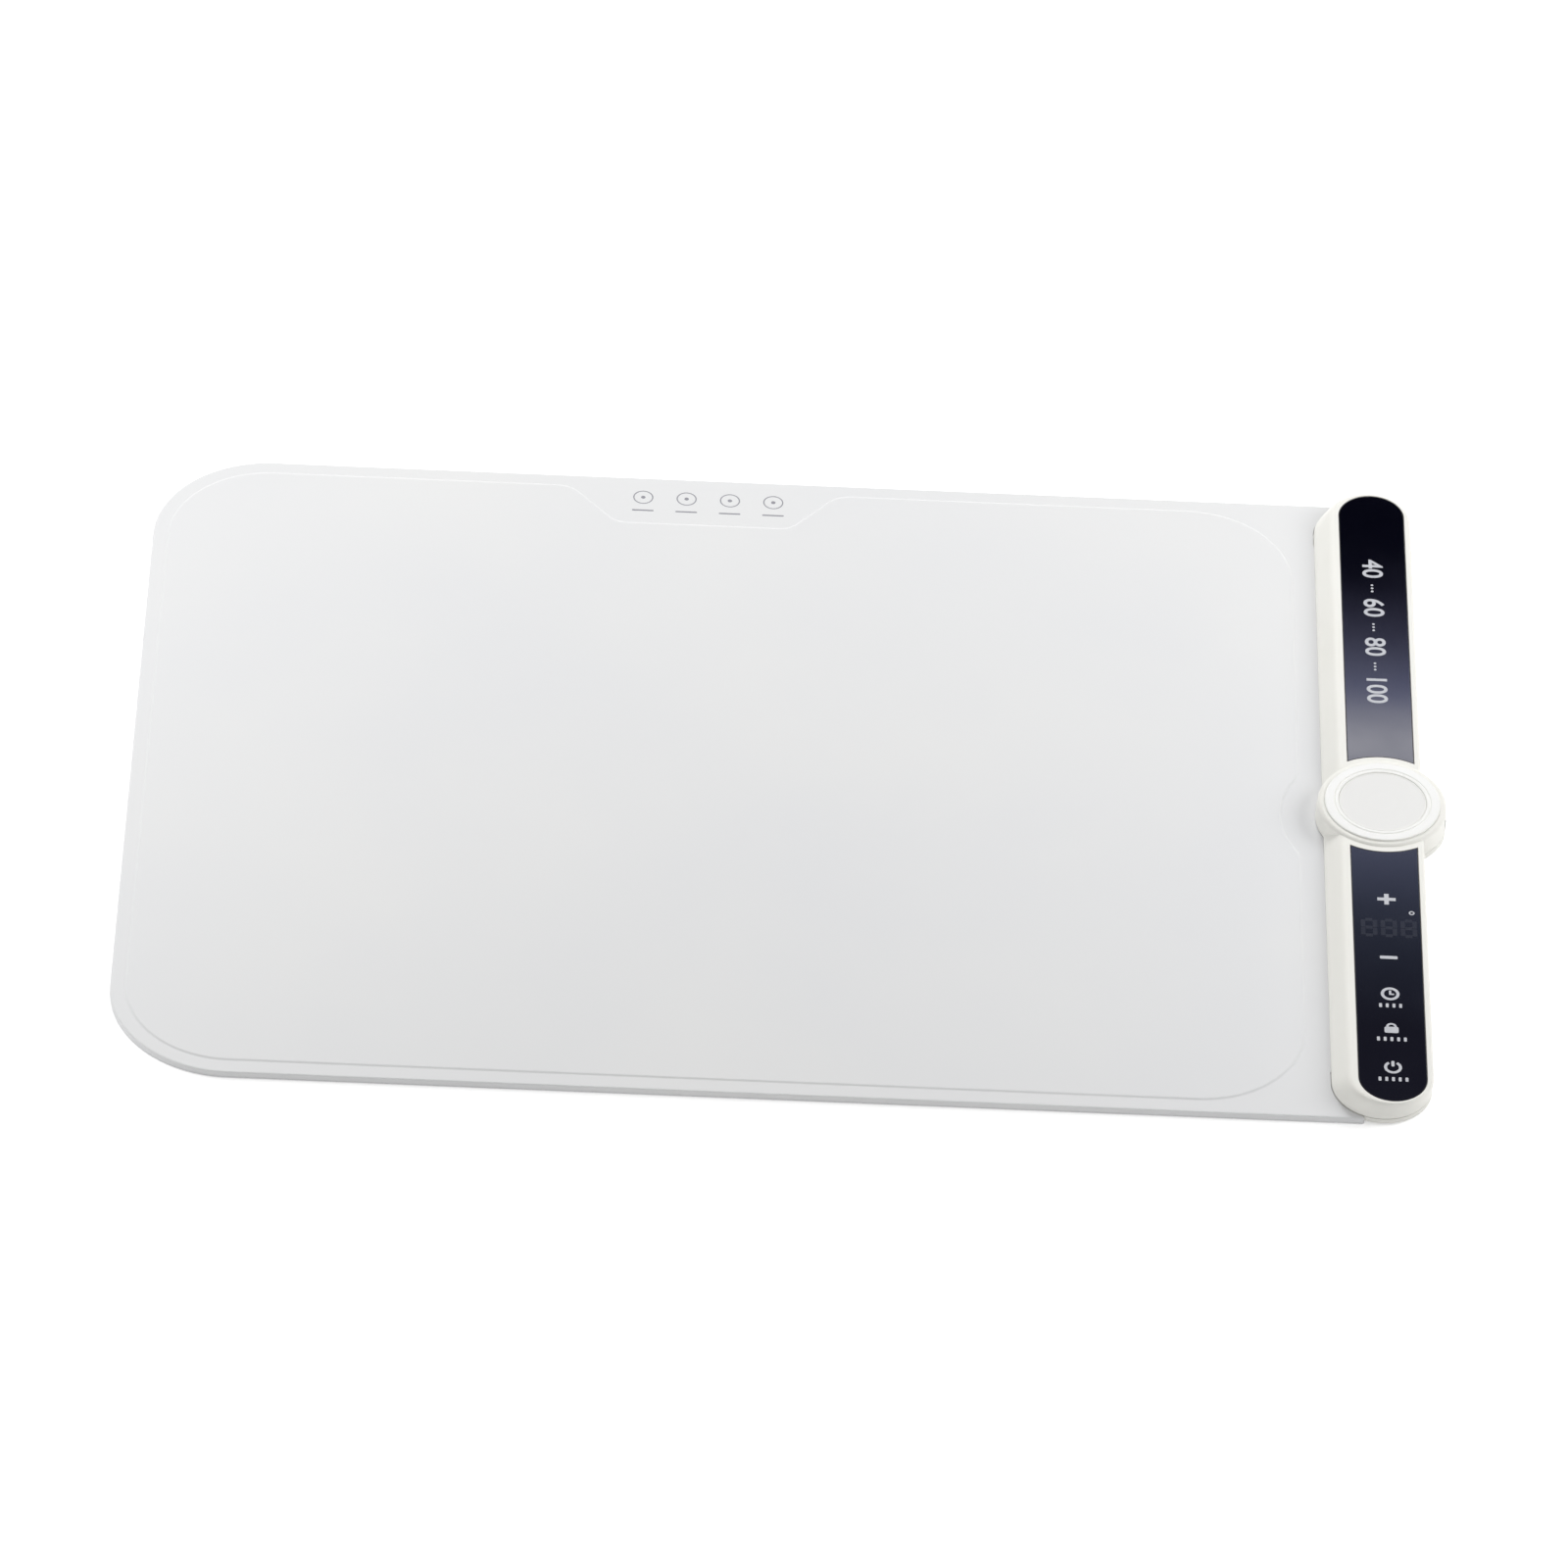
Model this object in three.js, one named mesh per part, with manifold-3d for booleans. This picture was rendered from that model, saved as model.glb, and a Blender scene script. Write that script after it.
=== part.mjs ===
// Food warming mat: a thin silicone heating mat with a control bar along its right short side.
// Millimetres, +Z up. X runs along the mat towards the bar, Y runs away from the cook.
// The origin is on the table, under the middle of the whole object.
import * as THREE from "three";
import { mergeVertices } from "three/addons/utils/BufferGeometryUtils.js";
import Module from "manifold-3d";

const wasm = await Module();
wasm.setup();

// Whole object
const bodyLength = 560; // left edge of the mat to the straight right side of the bar
const matDepth = 400; // far edge to near edge, of mat and bar alike

// Mat, outside
const matThickness = 3.2;
const matCornerRadius = 52;
const matEdgeRound = 0.8;
const hiddenCornerRadius = 1; // corners that lie against the bar
const plateauRise = 0.4; // the heated field stands this much over the border
const plateauStep = 1.6; // width of the soft step round the heated field
const plateauMarginLeft = 6;
const plateauMarginFar = 7;
const plateauMarginNear = 7;
const plateauGapToBar = 9.7;
const plateauBarCornerRadius = 47;
const notchFromLeft = 244; // middle of the notch in the far edge of the heated field
const notchTopWidth = 119;
const notchBottomWidth = 77;
const notchLength = 24;
const notchTopRadius = 14;
const notchBottomRadius = 10;
const reliefGap = 14.4; // border between the boss and the arc that the field draws round it
const reliefBlendRadius = 12;
const reliefBlendRoom = 1.1; // room that each blend takes, in blend radii

// Mat, layers from the table up
const bottomSkinThickness = 0.8;
const feltThickness = 0.6;
const filmThickness = 0.2;
const trackThickness = 0.15;
const spreaderThickness = 0.2;
const sheetGap = 0.1;
const sealWidth = 14; // border where top and bottom skin are bonded
const sheetClearance = 0.5; // sheets to the bonded border
const sheetCornerRadius = 38;

// Heating track and sensor
const trackWidth = 8;
const trackPitch = 20;
const trackMargin = 6; // edge of the film to the outermost track
const busGap = 4; // between the turns on the bar side and the bus beside them
const terminalOffset = 50; // middle of the bar to each heater terminal
const terminalLength = 5;
const terminalCornerRadius = 5;
const leadWidth = 3;
const leadCornerRadius = 3;
const thermistorLength = 8;
const thermistorWidth = 4;
const thermistorWindowClearance = 1;
const sensorLeadWidth = 1.2;
const sensorLeadSpacing = 3.2;
const sensorOffset = 20; // thermistor to the left of the middle of the mat's length

// Tongue of the top skin, clamped in the bar
const tongueLength = 13.6;
const tongueEndMargin = 28; // from each end of the bar
const tongueOverlap = 1; // stretch in which the tongue runs back into the skin
const leadChannelClearance = 0.25;
const pegRadius = 2.4;
const pegClearance = 0.4;
const pegInset = 7.8; // from the bar's left side
const pegEndMargin = 22; // from each end of the tongue
const clampInset = 3;
const clampWidth = 9.6;
const clampThickness = 1;
const clampEndMargin = 4;

// Bar, outside
const barWidth = 42.8;
const barHeight = 12;
const wallThickness = 1.8;
const floorThickness = 1.2;
const footProud = 0.6; // the base hangs this far over the table
const baseEdgeRound = 0.5;
const seamGap = 0.3; // between the two housing halves
const contactGap = 0.3; // between pieces that touch
const flankFoot = 0.4; // left flank: how far it leans in over its upright foot
const flankFootHeight = 1.6;
const flankShoulder = 4; // left flank: inset where its top fillet starts
const flankShoulderDrop = 2.4;
const flankTop = 8.6; // left flank: inset where the rim round the panel starts
const rightTop = 1.4;
const endTop = 1.2;
const topFilletDrop = 2.4; // the right side's and the ends' fillet starts this far under the top

// Touch panel, in two pieces
const panelWidth = 28.9;
const panelRightRim = 3.1;
const panelEndRim = 2.3;
const panelThickness = 1;
const panelSetback = 0.1; // the panel's face lies this far under the rim
const panelClearance = 0.2;
const panelBedThickness = 1.2;

// Boss and medallion
const bossForward = 10; // the boss stands this far in front of the bar's middle
const bossRadius = 28.6;
const bossRise = 0.9;
const bossTopInset = 0.4; // the skirt leans in by this much at its shoulder
const bossFillet = 2;
const bossFlatDepth = 1.05; // how deep the boss's flat back cuts into its round
const panelArcGap = 2.4; // rim between the boss and the panel
const collarWidth = 3.4; // of the boss, round the ring
const ringWidth = 6.1;
const ringClearance = 0.2;
const ringSeatDepth = 1;
const ringBedThickness = 1.2;
const ringRise = 0.7;
const ringEdgeRound = 0.5;
const ringInnerLip = 1.2;
const ringGrooveWidth = 0.8;
const ringGrooveDepth = 0.35;
const discSetback = 0.2;
const discEdgeRound = 0.3;
const discClearance = 0.2;

// Screws, pillars and feet
const screwShankRadius = 1;
const screwHeadRadius = 2.1;
const screwHeadHeight = 1.1;
const screwClearance = 0.2;
const driveWidth = 0.7; // arm of the cross recess in each head
const driveLength = 2.6;
const driveDepth = 0.5;
const pillarRadius = 3.6;
const counterboreLedge = 1.2;
const screwBossRadius = 2.6;
const screwBossInset = 5; // from the bar's right side
const housingScrewLength = 6.4;
const endScrewInset = 12; // from the bar's ends
const sideScrewShare = 0.525; // of the bar's half length
const inletScrewGap = 5.3; // from the inlet's way through the housing
const inletScrewFromBack = 6.25;
const clampScrewLength = 3.6;
const boardScrewLength = 2.6;
const blindFloor = 0.4; // material left under a blind hole
const footRadius = 5;
const footRecess = 0.5;
const footClearance = 0.3;
const footEndMargin = 38; // from each end of the bar
const footInset = 9;

// Power inlet, at the flat back of the boss
const inletDepth = 16;
const inletHalfWidth = 7.4;
const inletWall = 0.9;
const inletBackWall = 1.6;
const inletCornerRadius = 1.2;
const inletPinRadius = 1.1;
const inletPinSpacing = 8;
const inletPinSetback = 3;
const inletPinTail = 2;
const inletPinHoleClearance = 0.1;
const wireRadius = 0.8;
const wireSpacing = 3.5;

// Boards and what they carry
const boardThickness = 1;
const boardWidth = 18.5;
const boardGapToTongue = 1.9;
const powerBoardPastArc = 17; // from the panel's round end beside the boss
const powerBoardLength = 112;
const powerBoardPost = 1.3;
const controlBoardPastArc = 9;
const controlBoardEndInset = 18; // from the bar's near end
const controlBoardDrop = 0.6; // posts between the panel bed and the control board
const postRadius = 1.9;
const boardHoleClearance = 0.2;
const postAlong = 5;
const leftPostAcross = 2.5;
const rightPostAcross = 3.5;
const padRadius = 4;
const padHoleClearance = 0.5;
const keyShares = { plus: 0.19, minus: 0.42, time: 0.56, lock: 0.69, power: 0.83 };
const displayShare = 0.305;
const displayLength = 21;
const displayWidth = 11;
const displayClearance = 0.5;
const chipSize = 7;
const chipThickness = 1.1;
const chipPlaceShare = 0.33;
const buzzerRadius = 4.5;
const buzzerHeight = 3.6;
const buzzerHoleRadius = 1;
const buzzerHoleDepth = 1;
const buzzerPlaceShare = 0.62;
const transformerLength = 13;
const transformerWidth = 12;
const transformerCoreHeight = 4.6;
const transformerFlange = 1.4;
const transformerFlangeProud = 1;
const capacitorRadius = 2.2;
const capacitorLength = 11;
const fuseRadius = 1.8;
const fuseLength = 12;
const fuseCapLength = 2.4;
const fuseGlassInset = 0.25;
const varistorRadius = 4.5;
const varistorThickness = 3;
const triacLength = 9;
const triacWidth = 8;
const triacThickness = 1.6;
const sinkLength = 24;
const sinkWidth = 13;
const sinkBase = 0.8;
const sinkFinHeight = 1.7;
const sinkFinWidth = 0.8;
const sinkFinCount = 5;
const thermalFuseRadius = 1.7;
const thermalFuseLength = 11;
const linkWidth = 5;
const linkThickness = 0.8;
const linkTabLength = 10; // flat stretch at each end of the ribbon
const partShares = { fuse: 0.13, varistor: 0.26, transformer: 0.4, capacitor: 0.54, sink: 0.76 };

// How finely round stretches are drawn, and how far a cut runs past what it cuts
const wideArcSteps = 10;
const smallArcSteps = 4;
const stadiumSteps = 16;
const roundSegments = 48;
const footSegments = 24;
const pinSegments = 16;
const screwSegments = 12;
const filletSteps = 3;
const wireSteps = 16;
const edgeSteps = 2;
const overrun = 2;
const mergeDistance = 0.0001;

// Places that follow from the sizes
const bossOverhang = bossRadius - bossFlatDepth - panelRightRim - panelWidth / 2;
const overallLength = bodyLength + bossOverhang;
const matLeft = -overallLength / 2;
const barRight = matLeft + bodyLength;
const barLeft = barRight - barWidth;
const bossBack = barRight + bossOverhang;
const halfDepth = matDepth / 2;
const panelCentreX = barRight - panelRightRim - panelWidth / 2;
const panelHalfLength = halfDepth - panelEndRim;
const bossY = -bossForward;
const tongueEnd = barLeft + tongueLength;
const tongueHalfWidth = halfDepth - tongueEndMargin;
const outerPegOffset = tongueHalfWidth - pegEndMargin;
const innerPegOffset = outerPegOffset / 2;
const footOffset = halfDepth - footEndMargin;
const floorBottom = footProud;
const floorTop = floorBottom + floorThickness;
const seamBottom = matThickness;
const seamTop = seamBottom + seamGap;
const panelArcRadius = bossRadius + panelArcGap;
const ringRadius = bossRadius - collarWidth;
const discRadius = ringRadius - ringWidth;
const panelTop = barHeight - panelSetback;
const panelBottom = panelTop - panelThickness;
const bedTop = panelBottom - contactGap;
const ceiling = bedTop - panelBedThickness;
const bossTop = barHeight + bossRise;
const ringSeat = bossTop - ringSeatDepth;
const bossCeiling = ringSeat - ringBedThickness;
const ringBottom = ringSeat + contactGap;
const ringTop = bossTop + ringRise;
const tongueTop = matThickness;
const tongueBottom = floorTop + contactGap;

// Places of the keys and the display along the front part of the panel
const frontPanelStart = bossY - panelArcRadius;
const frontPanelLength = panelHalfLength + frontPanelStart;
const alongPanel = (share) => frontPanelStart - frontPanelLength * share;
const keyPlaces = Object.entries(keyShares).map(([name, share]) => [name, alongPanel(share)]);
const displayY = alongPanel(displayShare);

// Stretches of the bar that the two boards take
const powerBoardFrom = bossY + panelArcRadius + powerBoardPastArc;
const powerBoardTo = powerBoardFrom + powerBoardLength;
const controlBoardStart = controlBoardPastArc - frontPanelStart;
const controlBoardEnd = halfDepth - controlBoardEndInset;

// Levels of the mat's layers
const bottomSkinTop = bottomSkinThickness;
const topSkinBottom = bottomSkinTop + sheetGap;
const feltBottom = bottomSkinTop + sheetGap;
const feltTop = feltBottom + feltThickness;
const filmBottom = feltTop + sheetGap;
const filmTop = filmBottom + filmThickness;
const trackBottom = filmTop + sheetGap;
const trackTop = trackBottom + trackThickness;
const spreaderBottom = trackTop + sheetGap;
const spreaderTop = spreaderBottom + spreaderThickness;
const cavityTop = spreaderTop + sheetGap;

// Materials
function finish(color, roughness, metalness = 0) {
  return new THREE.MeshStandardMaterial({ color, roughness, metalness });
}
const whiteSilicone = finish(0xecece9, 0.55);
const greySilicone = finish(0xc9c9c9, 0.7);
const feltMaterial = finish(0xe8e2d2, 0.95);
const polyimide = finish(0xb97a2a, 0.35);
const etchedAlloy = finish(0x9a9a98, 0.4, 1);
const aluminiumFoil = finish(0xd5d7d9, 0.3, 1);
const creamPlastic = finish(0xf0f0e4, 0.4);
const blackGlass = finish(0x0a0a14, 0.08);
const whitePlastic = finish(0xf6f6f4, 0.3);
const spunMetal = finish(0xe4e3e0, 0.3, 0.6);
const springSteel = finish(0xb9bcc0, 0.35, 1);
const boardGreen = finish(0x1f5a36, 0.5);
const displayBlack = finish(0x15151a, 0.3);
const foamGrey = finish(0x4a4a4e, 0.9);
const chipBlack = finish(0x18181a, 0.5);
const copper = finish(0xb87333, 0.35, 1);
const tape = finish(0xd9b64a, 0.5);
const capacitorSleeve = finish(0x20304a, 0.4);
const glassTube = finish(0xd9e2e2, 0.1);
const varistorBlue = finish(0x2c5fa8, 0.5);
const wireSleeve = finish(0xf2f2f2, 0.5);
const zincPlate = finish(0xc8cbd0, 0.35, 1);
const footRubber = finish(0xd8d8d4, 0.9);
const blackNylon = finish(0x1c1c1e, 0.5);
const brassPin = finish(0xc9a85a, 0.3, 1);

const assembly = new THREE.Group();

// Shape helpers

// A closed geometry as a solid, its shared corners merged.
function toSolid(geometry) {
  const bare = new THREE.BufferGeometry();
  const source = geometry.index ? geometry.toNonIndexed() : geometry;
  bare.setAttribute("position", source.getAttribute("position"));
  const merged = mergeVertices(bare, mergeDistance);
  return new wasm.Manifold(
    new wasm.Mesh({
      numProp: 3,
      vertProperties: new Float32Array(merged.attributes.position.array),
      triVerts: new Uint32Array(merged.index.array),
    }),
  );
}

// Adds a solid to the assembly as a named mesh.
function add(name, solid, material) {
  const { vertProperties, triVerts } = solid.getMesh();
  const geometry = new THREE.BufferGeometry();
  geometry.setAttribute("position", new THREE.BufferAttribute(vertProperties, 3));
  geometry.setIndex(new THREE.BufferAttribute(triVerts, 1));
  geometry.computeVertexNormals();
  const mesh = new THREE.Mesh(geometry, material);
  mesh.name = name;
  assembly.add(mesh);
}

function join(solids) {
  return solids.reduce((whole, solid) => whole.add(solid));
}

function cut(solid, tools) {
  return tools.reduce((rest, tool) => rest.subtract(tool), solid);
}

function box(x0, x1, y0, y1, z0, z1) {
  const geometry = new THREE.BoxGeometry(x1 - x0, y1 - y0, z1 - z0);
  geometry.translate((x0 + x1) / 2, (y0 + y1) / 2, (z0 + z1) / 2);
  return toSolid(geometry);
}

function cylinder(radius, x, y, z0, z1, segments = roundSegments) {
  const geometry = new THREE.CylinderGeometry(radius, radius, z1 - z0, segments);
  geometry.rotateX(Math.PI / 2);
  geometry.translate(x, y, (z0 + z1) / 2);
  return toSolid(geometry);
}

// A cylinder that lies along X or Y.
function lyingCylinder(radius, axis, from, to, across, z, segments = pinSegments) {
  const geometry = new THREE.CylinderGeometry(radius, radius, to - from, segments);
  const middle = (from + to) / 2;
  if (axis === "x") {
    geometry.rotateZ(Math.PI / 2);
    geometry.translate(middle, across, z);
  } else {
    geometry.translate(across, middle, z);
  }
  return toSolid(geometry);
}

// A turned solid round a vertical axis, from a profile of [radius, height] that closes on the axis.
function turned(profile, x, y, segments = roundSegments) {
  const points = profile.map(([radius, height]) => new THREE.Vector2(radius, height));
  const geometry = new THREE.LatheGeometry(points, segments);
  geometry.rotateX(Math.PI / 2);
  geometry.translate(x, y, 0);
  return toSolid(geometry);
}

// A straight prism over an outline.
function prism(outline, z0, z1) {
  const shape = new THREE.Shape(outline);
  const geometry = new THREE.ExtrudeGeometry(shape, { depth: z1 - z0, bevelEnabled: false });
  geometry.translate(0, 0, z0);
  return toSolid(geometry);
}

// A solid through rings of equal point counts, given as {outline, z} from the bottom up.
function loft(rings) {
  const count = rings[0].outline.length;
  const positions = rings.flatMap((ring) => ring.outline.flatMap((p) => [p.x, p.y, ring.z]));
  const index = [];
  for (let level = 0; level + 1 < rings.length; level++) {
    for (let i = 0; i < count; i++) {
      const a = level * count + i;
      const b = level * count + ((i + 1) % count);
      index.push(a, b, b + count, a, b + count, a + count);
    }
  }
  const top = (rings.length - 1) * count;
  for (const [a, b, c] of THREE.ShapeUtils.triangulateShape(rings[0].outline, []))
    index.push(c, b, a);
  for (const [a, b, c] of THREE.ShapeUtils.triangulateShape(rings.at(-1).outline, []))
    index.push(top + a, top + b, top + c);
  const geometry = new THREE.BufferGeometry();
  geometry.setAttribute("position", new THREE.Float32BufferAttribute(positions, 3));
  geometry.setIndex(index);
  return toSolid(geometry);
}

// Points of a counterclockwise outline with rounded corners, moved inwards by inset.
// Each corner is {x, y, r, steps}, with r its radius at inset 0.
function roundedOutline(corners, inset = 0) {
  const count = corners.length;
  const turns = corners.map((corner, i) => {
    const before = corners[(i + count - 1) % count];
    const after = corners[(i + 1) % count];
    const inward = new THREE.Vector2(corner.x - before.x, corner.y - before.y).normalize();
    const outward = new THREE.Vector2(after.x - corner.x, after.y - corner.y).normalize();
    const angle = Math.atan2(inward.cross(outward), inward.dot(outward));
    const side = Math.sign(angle);
    const mitre = inset / (1 + inward.dot(outward));
    const x = corner.x - mitre * (inward.y + outward.y);
    const y = corner.y + mitre * (inward.x + outward.x);
    return { x, y, inward, angle, side, r: corner.r - side * inset, steps: corner.steps };
  });
  return turns.flatMap(({ x, y, inward, angle, side, r, steps }) => {
    const back = r * Math.tan(Math.abs(angle) / 2);
    const centreX = x - inward.x * back - side * inward.y * r;
    const centreY = y - inward.y * back + side * inward.x * r;
    const first = Math.atan2(-side * inward.x, side * inward.y);
    return Array.from({ length: steps + 1 }, (_, k) => {
      const at = first + (angle * k) / steps;
      return new THREE.Vector2(centreX + r * Math.cos(at), centreY + r * Math.sin(at));
    });
  });
}

function rectangleCorners(x0, x1, y0, y1, radius, steps = smallArcSteps) {
  return [
    { x: x0, y: y0, r: radius, steps },
    { x: x1, y: y0, r: radius, steps },
    { x: x1, y: y1, r: radius, steps },
    { x: x0, y: y1, r: radius, steps },
  ];
}

// A stadium along Y, its round ends at plus and minus end.
function stadium(x0, x1, end) {
  const radius = (x1 - x0) / 2;
  return roundedOutline(rectangleCorners(x0, x1, -end, end, radius, stadiumSteps / 2));
}

// Left and right edges of a flat strip that follows a route of {x, y, r} corners.
function strip(route, width, z0, z1) {
  const left = [];
  const right = [];
  const put = (x, y, nx, ny) => {
    left.push(new THREE.Vector2(x + (nx * width) / 2, y + (ny * width) / 2));
    right.push(new THREE.Vector2(x - (nx * width) / 2, y - (ny * width) / 2));
  };
  route.forEach((corner, i) => {
    const before = route[Math.max(i - 1, 0)];
    const after = route[Math.min(i + 1, route.length - 1)];
    const a = new THREE.Vector2(corner.x - before.x, corner.y - before.y).normalize();
    const b = new THREE.Vector2(after.x - corner.x, after.y - corner.y).normalize();
    if (i === 0) return put(corner.x, corner.y, -b.y, b.x);
    if (i === route.length - 1) return put(corner.x, corner.y, -a.y, a.x);
    const angle = Math.atan2(a.cross(b), a.dot(b));
    const side = Math.sign(angle);
    const back = corner.r * Math.tan(Math.abs(angle) / 2);
    const centreX = corner.x - a.x * back - side * a.y * corner.r;
    const centreY = corner.y - a.y * back + side * a.x * corner.r;
    const first = Math.atan2(-side * a.x, side * a.y);
    for (let k = 0; k <= smallArcSteps; k++) {
      const at = first + (angle * k) / smallArcSteps;
      const cos = Math.cos(at);
      const sin = Math.sin(at);
      put(centreX + corner.r * cos, centreY + corner.r * sin, -side * cos, -side * sin);
    }
  });
  return prism([...right, ...left.reverse()], z0, z1);
}

// A round wire along points, as one tube.
function wire(points, radius, steps) {
  const section = new THREE.Shape().absarc(0, 0, radius, 0, 2 * Math.PI);
  const path = new THREE.CatmullRomCurve3(points);
  const sides = pinSegments / 4;
  const options = { extrudePath: path, steps, curveSegments: sides, bevelEnabled: false };
  return toSolid(new THREE.ExtrudeGeometry(section, options));
}

// Quarter-round steps: how far in and how far up, for a fillet of the given radius.
function fillet(radius, steps = filletSteps) {
  return Array.from({ length: steps + 1 }, (_, k) => {
    const at = (k / steps) * (Math.PI / 2);
    return { inset: radius * (1 - Math.cos(at)), rise: radius * Math.sin(at) };
  });
}

// A screw that stands head up at z, or head down; its cross recess is open to the outside.
function screw(x, y, headBottom, length, headUp) {
  const up = headUp ? 1 : -1;
  const headTop = headBottom + up * screwHeadHeight;
  const tip = headBottom - up * length;
  const low = Math.min;
  const high = Math.max;
  const head = cylinder(
    screwHeadRadius, x, y, low(headBottom, headTop), high(headBottom, headTop), screwSegments,
  );
  const shank = cylinder(
    screwShankRadius, x, y, low(tip, headBottom), high(tip, headBottom), screwSegments,
  );
  const slotFloor = headTop - up * driveDepth;
  const slotMouth = headTop + up * overrun;
  const long = driveLength / 2;
  const thin = driveWidth / 2;
  const z0 = low(slotFloor, slotMouth);
  const z1 = high(slotFloor, slotMouth);
  return cut(join([head, shank]), [
    box(x - long, x + long, y - thin, y + thin, z0, z1),
    box(x - thin, x + thin, y - long, y + long, z0, z1),
  ]);
}

// Outlines that several pieces share

const matCorners = [
  { x: matLeft, y: -halfDepth, r: matCornerRadius, steps: wideArcSteps },
  { x: tongueEnd, y: -halfDepth, r: hiddenCornerRadius, steps: smallArcSteps },
  { x: tongueEnd, y: halfDepth, r: hiddenCornerRadius, steps: smallArcSteps },
  { x: matLeft, y: halfDepth, r: matCornerRadius, steps: wideArcSteps },
];

const sheetRight = barLeft - sealWidth - sheetClearance;
const sheetCorners = rectangleCorners(
  matLeft + sealWidth + sheetClearance,
  sheetRight,
  -halfDepth + sealWidth + sheetClearance,
  halfDepth - sealWidth - sheetClearance,
  sheetCornerRadius,
  wideArcSteps,
);

// The bar's footprint at the table, widened by a clearance.
function barFootprint(clearance) {
  return stadium(barLeft - clearance, barRight + clearance, halfDepth + clearance);
}

// Mat

function plateauCorners() {
  const left = matLeft + plateauMarginLeft;
  const right = barLeft - plateauGapToBar;
  const far = halfDepth - plateauMarginFar;
  const near = -halfDepth + plateauMarginNear;
  const notchMiddle = matLeft + notchFromLeft;
  const notchFloor = far - notchLength;
  const leftRadius = matCornerRadius - plateauMarginLeft;
  const reliefRadius = bossRadius + reliefGap;
  const blendRoom = reliefBlendRadius * reliefBlendRoom;
  const reliefHalfAngle = Math.acos((panelCentreX - right + blendRoom) / (reliefRadius + blendRoom));
  const reliefPoint = panelCentreX - reliefRadius / Math.cos(reliefHalfAngle);
  const reliefReach = (right - reliefPoint) / Math.tan(reliefHalfAngle);
  const notchCorner = (halfWidth, y, r) => ({ x: notchMiddle + halfWidth, y, r, steps: smallArcSteps });
  return [
    { x: left, y: near, r: leftRadius, steps: wideArcSteps },
    { x: right, y: near, r: plateauBarCornerRadius, steps: wideArcSteps },
    { x: right, y: bossY - reliefReach, r: reliefBlendRadius, steps: smallArcSteps },
    { x: reliefPoint, y: bossY, r: reliefRadius, steps: wideArcSteps },
    { x: right, y: bossY + reliefReach, r: reliefBlendRadius, steps: smallArcSteps },
    { x: right, y: far, r: plateauBarCornerRadius, steps: wideArcSteps },
    notchCorner(notchTopWidth / 2, far, notchTopRadius),
    notchCorner(notchBottomWidth / 2, notchFloor, notchBottomRadius),
    notchCorner(-notchBottomWidth / 2, notchFloor, notchBottomRadius),
    notchCorner(-notchTopWidth / 2, far, notchTopRadius),
    { x: left, y: far, r: leftRadius, steps: wideArcSteps },
  ];
}

function leadChannels() {
  const half = leadWidth / 2 + leadChannelClearance;
  const sensorHalf = (sensorLeadSpacing + sensorLeadWidth) / 2 + leadChannelClearance;
  const low = trackBottom - sheetGap;
  const high = spreaderTop + leadChannelClearance;
  const channel = (y, halfWidth) =>
    box(sheetRight, tongueEnd + overrun, y - halfWidth, y + halfWidth, low, high);
  return [channel(terminalOffset, half), channel(-terminalOffset, half), channel(0, sensorHalf)];
}

const pegX = barLeft + pegInset;
const pegPlaces = [-outerPegOffset, -innerPegOffset, innerPegOffset, outerPegOffset];

function topSkin() {
  const edge = fillet(matEdgeRound);
  const slab = loft([
    { outline: roundedOutline(matCorners), z: topSkinBottom },
    ...edge.map(({ inset, rise }) => ({
      outline: roundedOutline(matCorners, inset),
      z: matThickness - matEdgeRound + rise,
    })),
  ]);
  const corners = plateauCorners();
  const stepRing = (share) => ({
    outline: roundedOutline(corners, plateauStep * share),
    z: matThickness + plateauRise * (0.5 - Math.cos(Math.PI * share) / 2),
  });
  const plateau = loft([
    { outline: roundedOutline(corners), z: cavityTop },
    ...[0, 1 / 4, 1 / 2, 3 / 4, 1].map(stepRing),
  ]);
  const tongue = box(
    barLeft - seamGap - tongueOverlap, tongueEnd,
    -tongueHalfWidth, tongueHalfWidth, tongueBottom, tongueTop,
  );
  const cavityCorners = rectangleCorners(
    matLeft + sealWidth,
    barLeft - sealWidth,
    -halfDepth + sealWidth,
    halfDepth - sealWidth,
    sheetCornerRadius + sheetClearance,
    wideArcSteps,
  );
  const cavity = prism(roundedOutline(cavityCorners), topSkinBottom - overrun, cavityTop);
  const outside = prism(barFootprint(contactGap), -overrun, matThickness + overrun);
  const holes = pegPlaces.map((y) =>
    cylinder(pegRadius + pegClearance, pegX, y, -overrun, matThickness + overrun, pinSegments),
  );
  const skin = cut(slab.add(plateau), [outside, cavity]);
  return cut(skin.add(tongue), [...holes, ...leadChannels()]);
}
add("mat_top_skin", topSkin(), whiteSilicone);

const bottomSheet = prism(roundedOutline(matCorners), 0, bottomSkinTop);
const bottomCut = prism(barFootprint(contactGap), -overrun, bottomSkinTop + overrun);
add("mat_bottom_skin", cut(bottomSheet, [bottomCut]), greySilicone);
add("insulation_felt", prism(roundedOutline(sheetCorners), feltBottom, feltTop), feltMaterial);
add("heater_film", prism(roundedOutline(sheetCorners), filmBottom, filmTop), polyimide);

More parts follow.
